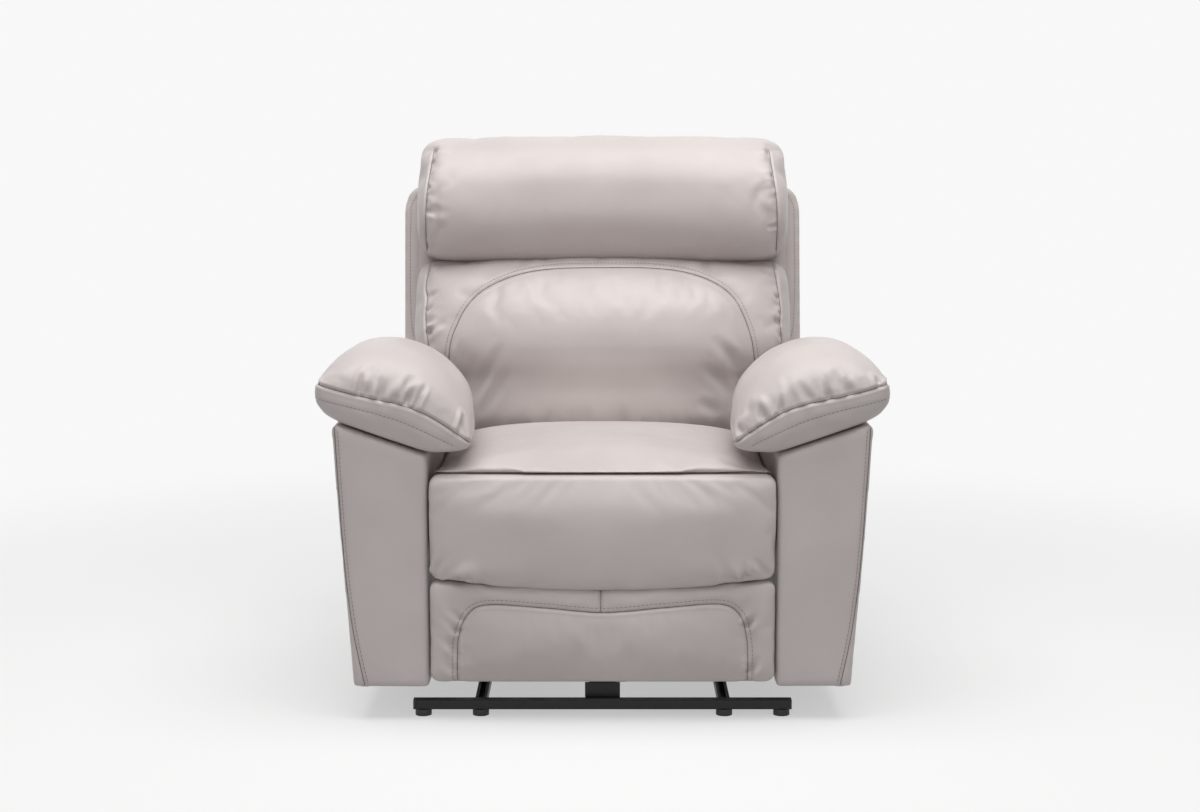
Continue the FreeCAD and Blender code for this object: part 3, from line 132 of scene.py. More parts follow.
def plain_shader(tree, kind, colour, strength=None):
    """A shader of one plain colour."""
    values = {"Color": (*colour, 1)}
    if strength is not None:
        values["Strength"] = strength
    return add_node(tree, kind, values, {}).outputs[0]


def mix_shaders(tree, factor, first, second):
    """Goes from the first shader to the second as the factor rises."""
    sources = {0: factor, 1: first, 2: second}
    return add_node(tree, "ShaderNodeMixShader", {}, sources).outputs[0]


world = bpy.data.worlds.new("white_room")
scene.world = world
world.use_nodes = True
room = world.node_tree
room.nodes.clear()
seen = plain_shader(room, "ShaderNodeBackground", BACKDROP)
filling = plain_shader(room, "ShaderNodeBackground", ROOM_TINT, ROOM_LIGHT)
mixed = mix_shaders(room, seen_rays(room), filling, seen)
add_node(room, "ShaderNodeOutputWorld", {}, {"Surface": mixed})
print("room light", ROOM_LIGHT)

# %% [markdown]
# The floor is a sheet of white paper that runs back without an edge. Near the chair it is matt, so
# that it takes the shadow, and further out it fades into the white of the room.

# %% Floor
FLOOR_HALF = 30.0
FLOOR_CORNERS = ((-1, -1), (1, -1), (1, 1), (-1, 1))
FADE_START, FADE_END = 0.9, 2.6
PAPER_BOUNCE = (0.52, 0.52, 0.52)
PAPER_MATT = (0.45, 0.45, 0.45)
PAPER_GLOW = (0.485, 0.485, 0.485)


def tree_of(material):
    """Clears a material's nodes and gives back its tree and its output."""
    material.use_nodes = True
    tree = material.node_tree
    tree.nodes.clear()
    return tree, tree.nodes.new("ShaderNodeOutputMaterial")


floor_mesh = bpy.data.meshes.new("studio_floor")
floor_mesh.from_pydata([(x * FLOOR_HALF, y * FLOOR_HALF, 0) for x, y in FLOOR_CORNERS], [],
                       [(0, 1, 2, 3)])
floor = bpy.data.objects.new("studio_floor", floor_mesh)
scene.collection.objects.link(floor)
paper = bpy.data.materials.new("studio_paper")
floor_mesh.materials.append(paper)
sheet, sheet_out = tree_of(paper)
bounce = plain_shader(sheet, "ShaderNodeBsdfDiffuse", PAPER_BOUNCE)
matt = plain_shader(sheet, "ShaderNodeBsdfDiffuse", PAPER_MATT)
glow = plain_shader(sheet, "ShaderNodeEmission", PAPER_GLOW)
far_floor = plain_shader(sheet, "ShaderNodeEmission", BACKDROP)
near_floor = add_node(sheet, "ShaderNodeAddShader", {}, {0: matt, 1: glow}).outputs[0]
place = sheet.nodes.new("ShaderNodeTexCoord").outputs["Object"]
radius = add_node(sheet, "ShaderNodeVectorMath", {}, {0: place})
radius.operation = "LENGTH"
fade = add_node(sheet, "ShaderNodeMapRange", {"From Min": FADE_START, "From Max": FADE_END},
                {"Value": radius.outputs["Value"]})
fade.interpolation_type = "SMOOTHSTEP"
shown = mix_shaders(sheet, fade.outputs["Result"], near_floor, far_floor)
joined = mix_shaders(sheet, seen_rays(sheet), bounce, shown)
sheet.links.new(joined, sheet_out.inputs["Surface"])
print("floor fades out between", FADE_START, "and", FADE_END, "m")

# %% [markdown]
# The cover is smooth upholstery leather with a light pigment finish: a warm pale grey, a fine
# pebble grain of about a millimetre and a soft sheen. Where it is creased, painted shade darkens
# the colour. The crease value is written on the mesh by the sewing steps further down.

# %% Leather
NOISE_LOW, NOISE_HIGH = 0.3, 0.7


def noise(tree, source, scale, detail=2.0, rough=0.5):
    """Adds one noise texture fed by the given coordinates."""
    values = {"Scale": scale, "Detail": detail, "Roughness": rough}
    return add_node(tree, "ShaderNodeTexNoise", values, {"Vector": source}).outputs["Fac"]


def spread(tree, value, low=0.0, high=1.0):
    """Stretches the middle of a noise, where most of it lies, over the given range."""
    values = {"From Min": NOISE_LOW, "From Max": NOISE_HIGH, "To Min": low, "To Max": high}
    return add_node(tree, "ShaderNodeMapRange", values, {"Value": value}).outputs["Result"]


def blend_colour(tree, factor, first, second):
    """Mixes two colours, each a plain colour or another node's output."""
    node = tree.nodes.new("ShaderNodeMix")
    node.data_type = "RGBA"
    tree.links.new(factor, node.inputs["Factor"])
    for socket, value in ((node.inputs[6], first), (node.inputs[7], second)):
        if isinstance(value, tuple):
            socket.default_value = (*value, 1)
        else:
            tree.links.new(value, socket)
    return node.outputs[2]


def bump(tree, height, strength, distance, below=None):
    """Adds one bump layer, on top of another one if it is given."""
    sources = {"Height": height}
    if below is not None:
        sources["Normal"] = below
    values = {"Strength": strength, "Distance": distance}
    return add_node(tree, "ShaderNodeBump", values, sources).outputs["Normal"]


def start_finish(name):
    """A new material: itself, its tree, its one shader and the piece's own coordinates."""
    material = bpy.data.materials.new(name)
    tree, out = tree_of(material)
    shader = tree.nodes.new("ShaderNodeBsdfPrincipled")
    tree.links.new(shader.outputs[0], out.inputs["Surface"])
    return material, tree, shader, tree.nodes.new("ShaderNodeTexCoord").outputs["Object"]


def make_leather(name, pale, deep, crease_shade_colour):
    """Pigmented leather: mottled colour, painted shade in the creases, pebble grain and faint skin
    lines.
    """
    material, tree, shader, where = start_finish(name)
    cloud = noise(tree, where, scale=7.0, detail=3.0)
    mottle = blend_colour(tree, spread(tree, cloud), deep, pale)
    # painted shade: where the crease value is high, the colour goes towards the darker crease shade
    # colour
    mark = tree.nodes.new("ShaderNodeAttribute")
    mark.attribute_name = "crease"
    colour = blend_colour(tree, mark.outputs["Fac"], mottle, crease_shade_colour)
    tree.links.new(colour, shader.inputs["Base Color"])
    gloss = spread(tree, noise(tree, where, scale=38.0, detail=3.0), low=0.35, high=0.47)
    tree.links.new(gloss, shader.inputs["Roughness"])
    shader.inputs["Specular IOR Level"].default_value = 0.5
    shader.inputs["Sheen Weight"].default_value = 0.12
    shader.inputs["Sheen Roughness"].default_value = 0.5
    pebble = add_node(tree, "ShaderNodeTexVoronoi", {"Scale": 760.0}, {"Vector": where})
    pebble.feature = "SMOOTH_F1"
    lines = noise(tree, where, scale=60.0, detail=4.0, rough=0.6)
    skin = bump(tree, lines, strength=0.10, distance=0.0012)
    grain = bump(tree, pebble.outputs["Distance"], strength=0.22, distance=0.00035, below=skin)
    tree.links.new(grain, shader.inputs["Normal"])
    return material


leather = make_leather("grey_leather", pale=(0.605, 0.549, 0.535), deep=(0.55, 0.496, 0.482),
                       crease_shade_colour=(0.30, 0.264, 0.252))
print("leather mixed:", leather.name)

# %% [markdown]
# The frame is ordinary furniture hardware: satin black steel, bright spring wire, moulded nylon,
# a painted motor, softwood and woven webbing. Each gets its own small variations, because a part
# that shows one flat colour reads as plastic whatever it is made of.

# %% Hard finishes
GLOSS_SPREAD = 0.06
FINE_RATIO = 14


def make_finish(name, colour, other, rough, metal=0.0, scale=30.0, stretch=(1, 1, 1), relief=0.06,
                depth=0.0003, level=0.5):
    """A plain hard finish: two near colours, an uneven gloss and a fine relief."""
    material, tree, shader, where = start_finish(name)
    pull = add_node(tree, "ShaderNodeMapping", {"Scale": stretch}, {"Vector": where}).outputs[0]
    coarse = noise(tree, pull, scale, detail=4.0)
    fine = noise(tree, pull, scale * FINE_RATIO)
    tree.links.new(blend_colour(tree, spread(tree, coarse), colour, other),
                   shader.inputs["Base Color"])
    tree.links.new(spread(tree, coarse, rough - GLOSS_SPREAD, rough + GLOSS_SPREAD),
                   shader.inputs["Roughness"])
    shader.inputs["Metallic"].default_value = metal
    shader.inputs["Specular IOR Level"].default_value = level
    tree.links.new(bump(tree, fine, relief, depth), shader.inputs["Normal"])
    return material


finishes = {
    "leather": leather,
    "black_steel": make_finish("black_steel", (0.011, 0.011, 0.012), (0.018, 0.018, 0.019), 0.42,
                               level=0.35),
    "bright_steel": make_finish("spring_wire", (0.42, 0.41, 0.39), (0.55, 0.54, 0.52), 0.32,
                                metal=1.0),
    "black_plastic": make_finish("black_nylon", (0.022, 0.022, 0.023), (0.032, 0.032, 0.033), 0.5,
                                 relief=0.15),
    "motor_metal": make_finish("motor_paint", (0.035, 0.035, 0.037), (0.06, 0.06, 0.062), 0.42),
    "drive_rail_metal": make_finish("rail_zinc", (0.34, 0.345, 0.35), (0.48, 0.485, 0.49), 0.36,
                                    metal=1.0, scale=60.0, stretch=(1, 0.1, 1)),
    "button_plastic": make_finish("button_plastic", (0.075, 0.075, 0.078), (0.10, 0.10, 0.105),
                                  0.34),
    "wood": make_finish("frame_wood", (0.42, 0.27, 0.15), (0.58, 0.41, 0.25), 0.62, scale=22.0,
                        stretch=(4, 0.5, 1), relief=0.3, depth=0.0006),
    "webbing": make_finish("webbing", (0.20, 0.17, 0.14), (0.30, 0.26, 0.22), 0.85, scale=160.0,
                           stretch=(1, 1, 3), relief=0.6, depth=0.0008),
}
thread_finish = make_finish("sewing_thread", (0.235, 0.205, 0.195), (0.30, 0.265, 0.25), 0.7,
                            scale=900.0, relief=0.3)
# painted shade: the colour of the dark cord that stands for the shadow in each seam's groove
seam_shade_finish = make_finish("seam_groove_shade", (0.17, 0.15, 0.141), (0.22, 0.194, 0.183), 0.75,
                           scale=300.0)
print("finishes mixed:", len(finishes))

# %% [markdown]
# No edge of a real steel or wooden part is quite sharp: a thin line of light runs along it. The
# drawn parts have sharp edges, so each hard part gets a very narrow bevel.

# %% Broken edges
SAME_PLACE = 0.00001
EDGE_WIDTH = 0.0006
EDGE_ANGLE = math.radians(35)
slot_of = {entry["node"]: entry["material_slot"] for entry in frame["record"]["subparts"]}
for name, part in nodes.items():
    part.data.materials.clear()
    part.data.materials.append(finishes[slot_of[name]])
    if slot_of[name] != "leather":
        part.modifiers.new("joined_faces", "WELD").merge_threshold = SAME_PLACE
        broken_edge = part.modifiers.new("broken_edge", "BEVEL")
        broken_edge.width = EDGE_WIDTH
        broken_edge.segments = 2
        broken_edge.limit_method = "ANGLE"
        broken_edge.angle_limit = EDGE_ANGLE
        broken_edge.harden_normals = True
print("finishes on", len(slot_of), "solid parts")

# %% [markdown]
# Upholstery starts from the shape of its filling. Each soft piece is taken from the drawing as a
# block of foam, covered with a fine even mesh, eased at its edges and then blown up like a bladder
# inside its cover, held at the seams and where it rests on something. What follows are the
# upholsterer's tools: cutting the cover, filling it, pulling in seams, laying folds and sewing.

# %% Upholstery tools: meshes
GRID_PER_METRE = 1e5


def points_of(mesh):
    """The mesh's points as rows of x, y, z in metres."""
    rows = np.empty(len(mesh.vertices) * 3)
    mesh.vertices.foreach_get("co", rows)
    return rows.reshape(-1, 3)


def move_points(mesh, rows):
    """Puts the mesh's points where the rows say."""
    mesh.vertices.foreach_set("co", np.ascontiguousarray(rows, dtype=np.float32).ravel())
    mesh.update()


def facing_of(mesh):
    """The direction in which each point of the mesh faces."""
    rows = np.empty(len(mesh.vertices) * 3)
    mesh.vertex_normals.foreach_get("vector", rows)
    return rows.reshape(-1, 3)


def edges_of(mesh):
    """The first and the second point of each edge of the mesh."""
    ends = np.empty(len(mesh.edges) * 2, dtype=np.int32)
    mesh.edges.foreach_get("vertices", ends)
    return ends.reshape(-1, 2).T


def shade_smooth(mesh):
    """Shades all faces of the mesh as one smooth surface."""
    mesh.polygons.foreach_set("use_smooth", [True] * len(mesh.polygons))


def make_piece(name, spots, faces, finish):
    """A new piece of one finish from its points and faces."""
    mesh = bpy.data.meshes.new(name)
    mesh.from_pydata([tuple(spot) for spot in spots], [], faces)
    mesh.materials.append(finish)
    piece = bpy.data.objects.new(name, mesh)
    scene.collection.objects.link(piece)
    return piece


def ring_faces(base, levels, around):
    """The faces between rings of points that lie one above the other."""
    faces = []
    for level in range(levels - 1):
        for turn in range(around):
            a = base + level * around + turn
            b = base + level * around + (turn + 1) % around
            faces.append((a, b, b + around, a + around))
    return faces


def settle(piece):
    """Fixes the piece's modifiers in its mesh."""
    graph = bpy.context.evaluated_depsgraph_get()
    mesh = bpy.data.meshes.new_from_object(piece.evaluated_get(graph))
    old = piece.data
    piece.modifiers.clear()
    piece.data = mesh
    bpy.data.meshes.remove(old)


def ease(mesh, rounds, share=0.5):
    """Relaxes each point towards its neighbours, as foam rounds an edge."""
    first, second = edges_of(mesh)
    count = len(mesh.vertices)
    number = np.bincount(first, minlength=count) + np.bincount(second, minlength=count)
    number = np.maximum(number, 1)
    rows = points_of(mesh)
    for _ in range(rounds):
        around = np.empty_like(rows)
        for axis in range(3):
            column = rows[:, axis]
            around[:, axis] = (np.bincount(first, column[second], count)
                               + np.bincount(second, column[first], count)) / number
        rows = rows + share * (around - rows)
    move_points(mesh, rows)


def block_of(node):
    """The outside of a drawn solid as a block of filling, without the inner walls of a hollow."""
    mesh = nodes[node].data
    first, second = edges_of(mesh)
    rows = points_of(mesh)
    keys = {}
    weld = np.array([keys.setdefault(tuple(key), index) for index, key
                     in enumerate(np.round(rows * GRID_PER_METRE).astype(int).tolist())])
    island = weld.copy()
    while True:
        before = island.copy()
        low = np.minimum(island[first], island[second])
        np.minimum.at(island, first, low)
        np.minimum.at(island, second, low)
        np.minimum.at(island, weld, island)
        island = island[weld]
        if (before == island).all():
            break
    widest = max(set(island.tolist()), key=lambda mark: np.ptp(rows[island == mark], axis=0).sum())
    keep = island == widest
    faces = [tuple(face.vertices) for face in mesh.polygons if keep[face.vertices[0]]]
    skin = bpy.data.meshes.new("outer_skin")
    skin.from_pydata([tuple(row) for row in rows], [], faces)
    return skin


# %% [markdown]
# A real cushion is a bag that is a little too small for its filling. Here the bag is a mesh of
# 5 to 6 mm, and the cloth solver blows it up for a few steps. How far a point may move is kept
# within a soft limit, so that the piece stays in the space that was drawn for it.

# %% Upholstery tools: cutting and filling
FILL_FRAMES = 16
LIMIT_POWER = 4


def cut_cover(block, name, voxel, rounds):
    """Lays an even mesh over the outside of a block of filling and eases its edges."""
    piece = bpy.data.objects.new(name, block)
    scene.collection.objects.link(piece)
    remesh = piece.modifiers.new("even_mesh", "REMESH")
    remesh.mode = "VOXEL"
    remesh.voxel_size = voxel
    settle(piece)
    ease(piece.data, rounds)
    piece.data.materials.clear()
    piece.data.materials.append(leather)
    return piece


def stretch_to(piece, low, high):
    """Draws a cover out evenly until it fills the given box, None leaving a side as it is."""
    rows = points_of(piece.data)
    now_low = rows.min(axis=0)
    now_high = rows.max(axis=0)
    for axis in range(3):
        bottom = now_low[axis] if low[axis] is None else low[axis]
        top = now_high[axis] if high[axis] is None else high[axis]
        share = (rows[:, axis] - now_low[axis]) / (now_high[axis] - now_low[axis])
        rows[:, axis] = bottom + share * (top - bottom)
    move_points(piece.data, rows)


def finer(piece):
    """Divides the mesh once and shades it smooth."""
    piece.modifiers.new("finer", "SUBSURF").levels = 1
    settle(piece)
    shade_smooth(piece.data)


def fill(piece, held, pressure, cap, slack, low=None, high=None):
    """Blows the cover up with the cloth solver, the held points staying where they are."""
    start = points_of(piece.data)
    group = piece.vertex_groups.new(name="held")
    group.add(np.flatnonzero(held).tolist(), 1.0, "REPLACE")
    cloth = piece.modifiers.new("filling", "CLOTH")
    cloth.point_cache.frame_end = FILL_FRAMES
    cloth.collision_settings.use_collision = False
    rules = cloth.settings
    rules.quality = 3
    rules.mass = 0.35
    rules.tension_stiffness = 18
    rules.compression_stiffness = 12
    rules.shear_stiffness = 6
    rules.bending_stiffness = 0.8
    rules.use_pressure = True
    rules.uniform_pressure_force = pressure
    rules.shrink_min = -slack
    rules.effector_weights.gravity = 0
    rules.vertex_group_mass = "held"
    for step in range(1, FILL_FRAMES + 1):
        scene.frame_set(step)
    settle(piece)
    piece.vertex_groups.clear()
    scene.frame_set(1)
    step = points_of(piece.data) - start
    length = np.linalg.norm(step, axis=1)
    limit = (1.0 + (length / cap) ** LIMIT_POWER) ** (1 / LIMIT_POWER)
    rows = start + step / limit[:, None]
    if low is not None:
        rows = np.clip(rows, low, high)
    move_points(piece.data, rows)
    ease(piece.data, 3)
    print(piece.name, "filled, most movement", round(float(length.max()) * 1000, 1), "mm, kept to",
          cap * 1000)


# %% [markdown]
# A seam is planned as a line in the air in front of the piece and laid onto it like a paper
# pattern. The points near the line are then pulled in, which also works where the mesh has no edge
# along the seam. Folds are laid in the same way, with ends that die away.

# %% Upholstery tools: lines on a surface
# A furrow's shade is painted shade: it darkens the leather's colour along the furrow.
Furrow = namedtuple("Furrow", "line depth width shade lip free_ends")
LARGEST_STEP = 0.012
SPAN_POINTS = 40
LINE_STEP = 0.003
RAY_START = 2
BATCH = 2000
HELD_WIDTH = 0.005
FURROW_REACH, SHADE_WIDTH = 3.5, 0.8
LIP_PLACE, LIP_WIDTH = 1.9, 0.9
GATHER_SWAY = 0.25
GATHER_POINTS = 24
TINY = 1e-9


def unit(rows):
    """Each row as a direction of length one."""
    return rows / np.maximum(np.linalg.norm(rows, axis=-1, keepdims=True), TINY)


def steps_of(rows):
    """The distances between points that follow each other."""
    return np.linalg.norm(np.diff(rows, axis=0), axis=1)


def run_of(rows):
    """How far along its line each point is."""
    return np.concatenate([[0], np.cumsum(steps_of(rows))])


def smooth_line(knots, step=LINE_STEP):
    """A smooth line through the knots, as points a step apart."""
    knots = np.array(knots, float)
    ends = np.vstack([2 * knots[0] - knots[1], knots, 2 * knots[-1] - knots[-2]])
    rows = []
    for a, b, c, d in zip(ends, ends[1:], ends[2:], ends[3:]):
        for t in np.linspace(0, 1, SPAN_POINTS, endpoint=False):
            rows.append(0.5 * (2 * b + (c - a) * t + (2 * a - 5 * b + 4 * c - d) * t ** 2
                               + (3 * b - a - 3 * c + d) * t ** 3))
    rows.append(knots[-1])
    rows = np.array(rows)
    run = run_of(rows)
    spots = np.linspace(0, run[-1], max(2, int(run[-1] / step)))
    return np.column_stack([np.interp(spots, run, rows[:, axis]) for axis in range(3)])


def front_line(points, y=0.0, sign=1):
    """A line seen from the front, from distances from the middle and heights."""
    return smooth_line([(sign * x, y, z) for x, z in points])


def surface(piece):
    """The piece's surface, ready for lines to be laid on it."""
    return BVHTree.FromObject(piece, bpy.context.evaluated_depsgraph_get())


def trace(skin, plan):
    """Lays a planned line onto a surface along its aim: where it lands, and how that faces.

    Where the line runs off an edge, only its longest unbroken part is kept.
    """
    line, towards = plan
    aim = Vector(towards).normalized()
    spots = []
    facing = []
    for row in line:
        spot, normal, _, _ = skin.ray_cast(Vector(row) - RAY_START * aim, aim)
        if spot is not None:
            spots.append(spot)
            facing.append(normal)
    spots = np.array(spots)
    facing = np.array(facing)
    breaks = np.flatnonzero(steps_of(spots) > LARGEST_STEP) + 1
    kept = max(np.split(np.arange(len(spots)), breaks), key=len)
    return spots[kept], facing[kept]


def close_to(rows, line, reach):
    """The points within reach of a line, their distance to it and how far along it they are."""
    box = ((rows > line.min(0) - reach) & (rows < line.max(0) + reach)).all(axis=1)
    index = np.flatnonzero(box)
    gap = np.empty(len(index))
    share = np.empty(len(index))
    for part in np.array_split(np.arange(len(index)), len(index) // BATCH + 1):
        away = ((rows[index[part], None] - line[None]) ** 2).sum(axis=2)
        nearest = away.argmin(axis=1)
        gap[part] = np.sqrt(away[np.arange(len(part)), nearest])
        share[part] = nearest / (len(line) - 1)
    inside = gap < reach
    return index[inside], gap[inside], share[inside]


def beside(line, away, towards):
    """The same line moved sideways on the surface that it is seen on, along one direction."""
    along = np.gradient(line, axis=0)
    return line + away * unit(np.cross(along, np.array(towards, float)))


def taper(share, free_ends):
    """How strong a furrow is along its length: a fold dies away at its ends, a seam doesn't."""
    if free_ends == 0:
        return np.ones_like(share)
    if free_ends == 1:
        return np.sin(np.sqrt(share) * math.pi)
    return np.sin(share * math.pi)


def press(piece, furrows):
    """Pulls furrows into a piece and writes down the painted shade that darkens its leather along
    them.
    """
    mesh = piece.data
    rows = points_of(mesh)
    shift = np.zeros(len(rows))
    shade = np.zeros(len(rows))
    for line, depth, width, dark, lip, free_ends in furrows:
        near, gap, share = close_to(rows, line, FURROW_REACH * width)
        strength = taper(share, free_ends)
        shift[near] += strength * lip * np.exp(-((gap / width - LIP_PLACE) / LIP_WIDTH) ** 2)
        shift[near] -= strength * depth * np.exp(-(gap / width) ** 2)
        # painted shade along each furrow, kept in the crease value
        shade[near] += strength * dark * np.exp(-(gap / (SHADE_WIDTH * width)) ** 2)
    move_points(mesh, rows + facing_of(mesh) * shift[:, None])
    layer = mesh.attributes.get("crease") or mesh.attributes.new("crease", "FLOAT", "POINT")
    layer.data.foreach_set("value", np.clip(shade, 0, 1).astype(np.float32))


# Each fold carries a little painted shade, given by its shade.
def gathers(line, count, length, depth, seed, lean, shade=0.05):
    """Short folds that run from a seam into the panel, of uneven length and depth."""
    chance = np.random.default_rng(seed)
    folds = []
    for spot in np.sort(chance.uniform(0.02, 0.98, count)):
        root = line[int(spot * (len(line) - 1))]
        sway = np.array(lean) + chance.uniform(-GATHER_SWAY, GATHER_SWAY, 3)
        far = root + length * chance.uniform(0.45, 1.0) * sway
        deep = depth * chance.uniform(0.5, 1.0)
        wide = chance.uniform(0.0042, 0.0078)
        folds.append(Furrow(np.linspace(root, far, GATHER_POINTS), deep, wide, shade,
                            lip=0.5 * deep, free_ends=1))
    return folds


def gathers_at_both(lines, count, length, depth, seed, lean):
    """The same kind of folds at a left and a right line, leaning opposite ways."""
    inward, back, up = lean
    left = gathers(lines[0], count, length, depth, seed, (inward, back, up))
    return left + gathers(lines[1], count, length, depth, seed + 1, (-inward, back, up))


def draw_in(piece, plans, depth, width):
    """Pulls the seam lines into the filling before it swells, and says which points they hold."""
    skin = surface(piece)
    rows = points_of(piece.data)
    facing = facing_of(piece.data)
    held = np.zeros(len(rows), dtype=bool)
    shift = np.zeros(len(rows))
    for plan in plans:
        near, gap, _ = close_to(rows, trace(skin, plan)[0], 3 * width)
        shift[near] = np.maximum(shift[near], depth * np.exp(-(gap / width) ** 2))
        held[near[gap < HELD_WIDTH]] = True
    move_points(piece.data, rows - facing * shift[:, None])
    return held


def seam(line):
    """The furrow of one sewn seam, with painted shade in it."""
    return Furrow(line, depth=0.0026, width=0.0028, shade=0.25, lip=0.0010, free_ends=0)


def stitch_dent(line):
    """The shallow furrow that a row of topstitching pulls into the leather, with faint painted
    shade.
    """
    return Furrow(line, depth=0.0007, width=0.003, shade=0.1, lip=0.0, free_ends=0)


print("seams and folds are drawn with points", LINE_STEP * 1000, "mm apart")

# %% [markdown]
# Thread is real geometry here, because a row of stitches catches the light stitch by stitch. Each
# one is a short rounded bar, sunk slightly into the leather. A thin dark cord at the bottom of
# each seam is painted shade: it stands for the shadow in the groove where the two panels meet.

# %% Upholstery tools: thread
STITCH_LENGTH = 0.0052
STITCH_PITCH = 0.0072
THREAD_RADIUS = 0.00055
THREAD_SUNK = 0.0001
THREAD_SIDES = 6
STITCH_PROFILE = ((-0.5, 0.35), (-0.36, 1.0), (0.36, 1.0), (0.5, 0.35))
# painted shade: thin dark cords laid in the seam grooves
SEAM_SHADE_RADIUS = 0.0007
SEAM_SHADE_SIDES = 6


def sew(name, rows_of_stitches, body):
    """Lays short rounded stitches along the given lines and faces, as one piece of thread."""
    ring = [(math.cos(a), math.sin(a)) for a in np.arange(THREAD_SIDES) * math.pi / 3]
    levels = len(STITCH_PROFILE)
    per_stitch = levels * THREAD_SIDES
    spots = []
    faces = []
    for line, facing in rows_of_stitches:
        run = run_of(line)
        for at in np.arange(STITCH_PITCH, run[-1] - STITCH_PITCH, STITCH_PITCH):
            middle = np.array([np.interp(at, run, line[:, axis]) for axis in range(3)])
            index = min(int(np.searchsorted(run, at)), len(line) - 1)
            along = unit(line[min(index + 1, len(line) - 1)] - line[max(index - 1, 0)])
            up = unit(facing[index] - along * (facing[index] @ along))
            side = np.cross(along, up)
            base = len(spots)
            for place, share in STITCH_PROFILE:
                lift = THREAD_RADIUS * 0.5 * share - THREAD_SUNK
                centre = middle + along * place * STITCH_LENGTH + up * lift
                spots += [centre + THREAD_RADIUS * share * (c * side + s * up) for c, s in ring]
            faces += ring_faces(base, levels, THREAD_SIDES)
            faces.append(tuple(range(base + THREAD_SIDES - 1, base - 1, -1)))
            faces.append(tuple(range(base + per_stitch - THREAD_SIDES, base + per_stitch)))
    piece = make_piece(name, spots, faces, thread_finish)
    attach(piece, body)
    print(name, "sewn with", len(spots) // per_stitch, "stitches")


def seam_shade_cord(name, lines, body):
    """Painted shade at the bottom of a seam, as one thin dark cord per line."""
    spots = []
    faces = []
    for line, facing in lines:
        along = unit(np.gradient(line, axis=0))
        across = unit(np.cross(along, facing))
        base = len(spots)
        count = len(line)
        for turn in range(SEAM_SHADE_SIDES):
            angle = turn * 2 * math.pi / SEAM_SHADE_SIDES
            offset = math.cos(angle) * across + math.sin(angle) * np.cross(across, along)
            spots += list(line + SEAM_SHADE_RADIUS * offset)
            first = base + turn * count
            second = base + (turn + 1) % SEAM_SHADE_SIDES * count
            faces += [(first + k, first + k + 1, second + k + 1, second + k)
                      for k in range(count - 1)]
    piece = make_piece(name, spots, faces, seam_shade_finish)
    shade_smooth(piece.data)
    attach(piece, body)


def close_cover(piece, node, body, seams=(), stitches=(), folds=()):
    """Sews a cover up: furrows first, then the painted-shade cords and the thread, then its place.
    """
    skin = surface(piece)
    furrows = [seam(trace(skin, plan)[0]) for plan in seams]
    furrows += [stitch_dent(trace(skin, plan)[0]) for plan in stitches]
    press(piece, furrows + list(folds))
    skin = surface(piece)
    seam_shade_lines = [trace(skin, plan) for plan in seams]
    rows = [trace(skin, plan) for plan in stitches]
    longest = max([steps_of(line).max() for line, _ in seam_shade_lines + rows], default=0)
    print(node, len(seam_shade_lines), "seams and", len(rows), "rows of stitches, longest step",
          round(float(longest) * 1000, 1), "mm")
    if seam_shade_lines:
        # painted shade cords along the seams
        seam_shade_cord(f"{node}_joints", seam_shade_lines, body)
    if rows:
        sew(f"{node}_stitching", rows, body)
    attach(piece, body)
    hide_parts(node)


# %% [markdown]
# The seat cushion is a foam block with a crowned top. Its cover is drawn down over the front edge
# and sewn to the drop panel there, so the top swells between the arms and dips at that seam.

# %% Seat cushion
FRONT = (0, 1, 0)
OVER_EDGE = (0, 0.75, -0.66)
SEAT_HALF = 0.2905
SEAT_REAR = 0.090
CROWN_RISE, CROWN_FALL, CROWN_POWER, CROWN_HALF = 0.006, 0.026, 2.4, 0.29
EDGE_START, EDGE_RUN = -0.43, 0.15
TOP_START, TOP_ROUND = 0.40, 0.04
SEAT_BED, SEAT_TUCK, SEAT_FOOT = -0.3, 0.06, 0.395
WELT_Y = -0.44
WELT_STITCH = np.array([0, 0, 0.0085])


def share_of(distance, run):
    """How much of a run a distance covers, from nought to one."""
    return np.clip(distance / run, 0, 1)


seat = cut_cover(block_of("seat_cushion"), "seat_cushion_cover", voxel=0.006, rounds=8)
stretch_to(seat, (-SEAT_HALF, None, None), (SEAT_HALF, SEAT_REAR, None))
welt_line = front_line([(-0.286, 0.4205), (-0.15, 0.421), (0, 0.4215), (0.15, 0.4225),
                        (0.286, 0.425)], WELT_Y)
welt = (welt_line, FRONT)
rows = points_of(seat.data)
behind_edge = share_of(rows[:, 1] - EDGE_START, EDGE_RUN)
near_top = share_of(rows[:, 2] - TOP_START, TOP_ROUND)
fall = (np.abs(rows[:, 0]) / CROWN_HALF) ** CROWN_POWER
rows[:, 2] += (CROWN_RISE - CROWN_FALL * fall) * behind_edge * near_top
move_points(seat.data, rows)
held = draw_in(seat, [welt], depth=0.002, width=0.008)
held |= (rows[:, 1] > SEAT_TUCK) | (rows[:, 2] < SEAT_FOOT)
held |= facing_of(seat.data)[:, 2] < SEAT_BED
fill(seat, held, pressure=4.0, cap=0.012, slack=0.008, low=(-SEAT_HALF, -0.455, 0.33),
     high=(SEAT_HALF, 0.092, 0.47))
finer(seat)
close_cover(seat, "seat_cushion", "seat", [welt], [(welt_line + WELT_STITCH, OVER_EDGE)])

# %% [markdown]
# Behind the cushion the seat has a deck: a slack leather panel that reaches under the back, so that
# nobody looks down into the mechanism through the gap. It is a thin sheet with a slight sag.

# %% Seat deck
SHEET_THICK = 0.002
DECK_HALF, DECK_FRONT, DECK_REAR = 0.282, 0.066, 0.205
DECK_TOP, DECK_FALL, DECK_SAG = 0.362, 0.018, 0.006
DECK_ROWS, DECK_COLUMNS = 13, 33


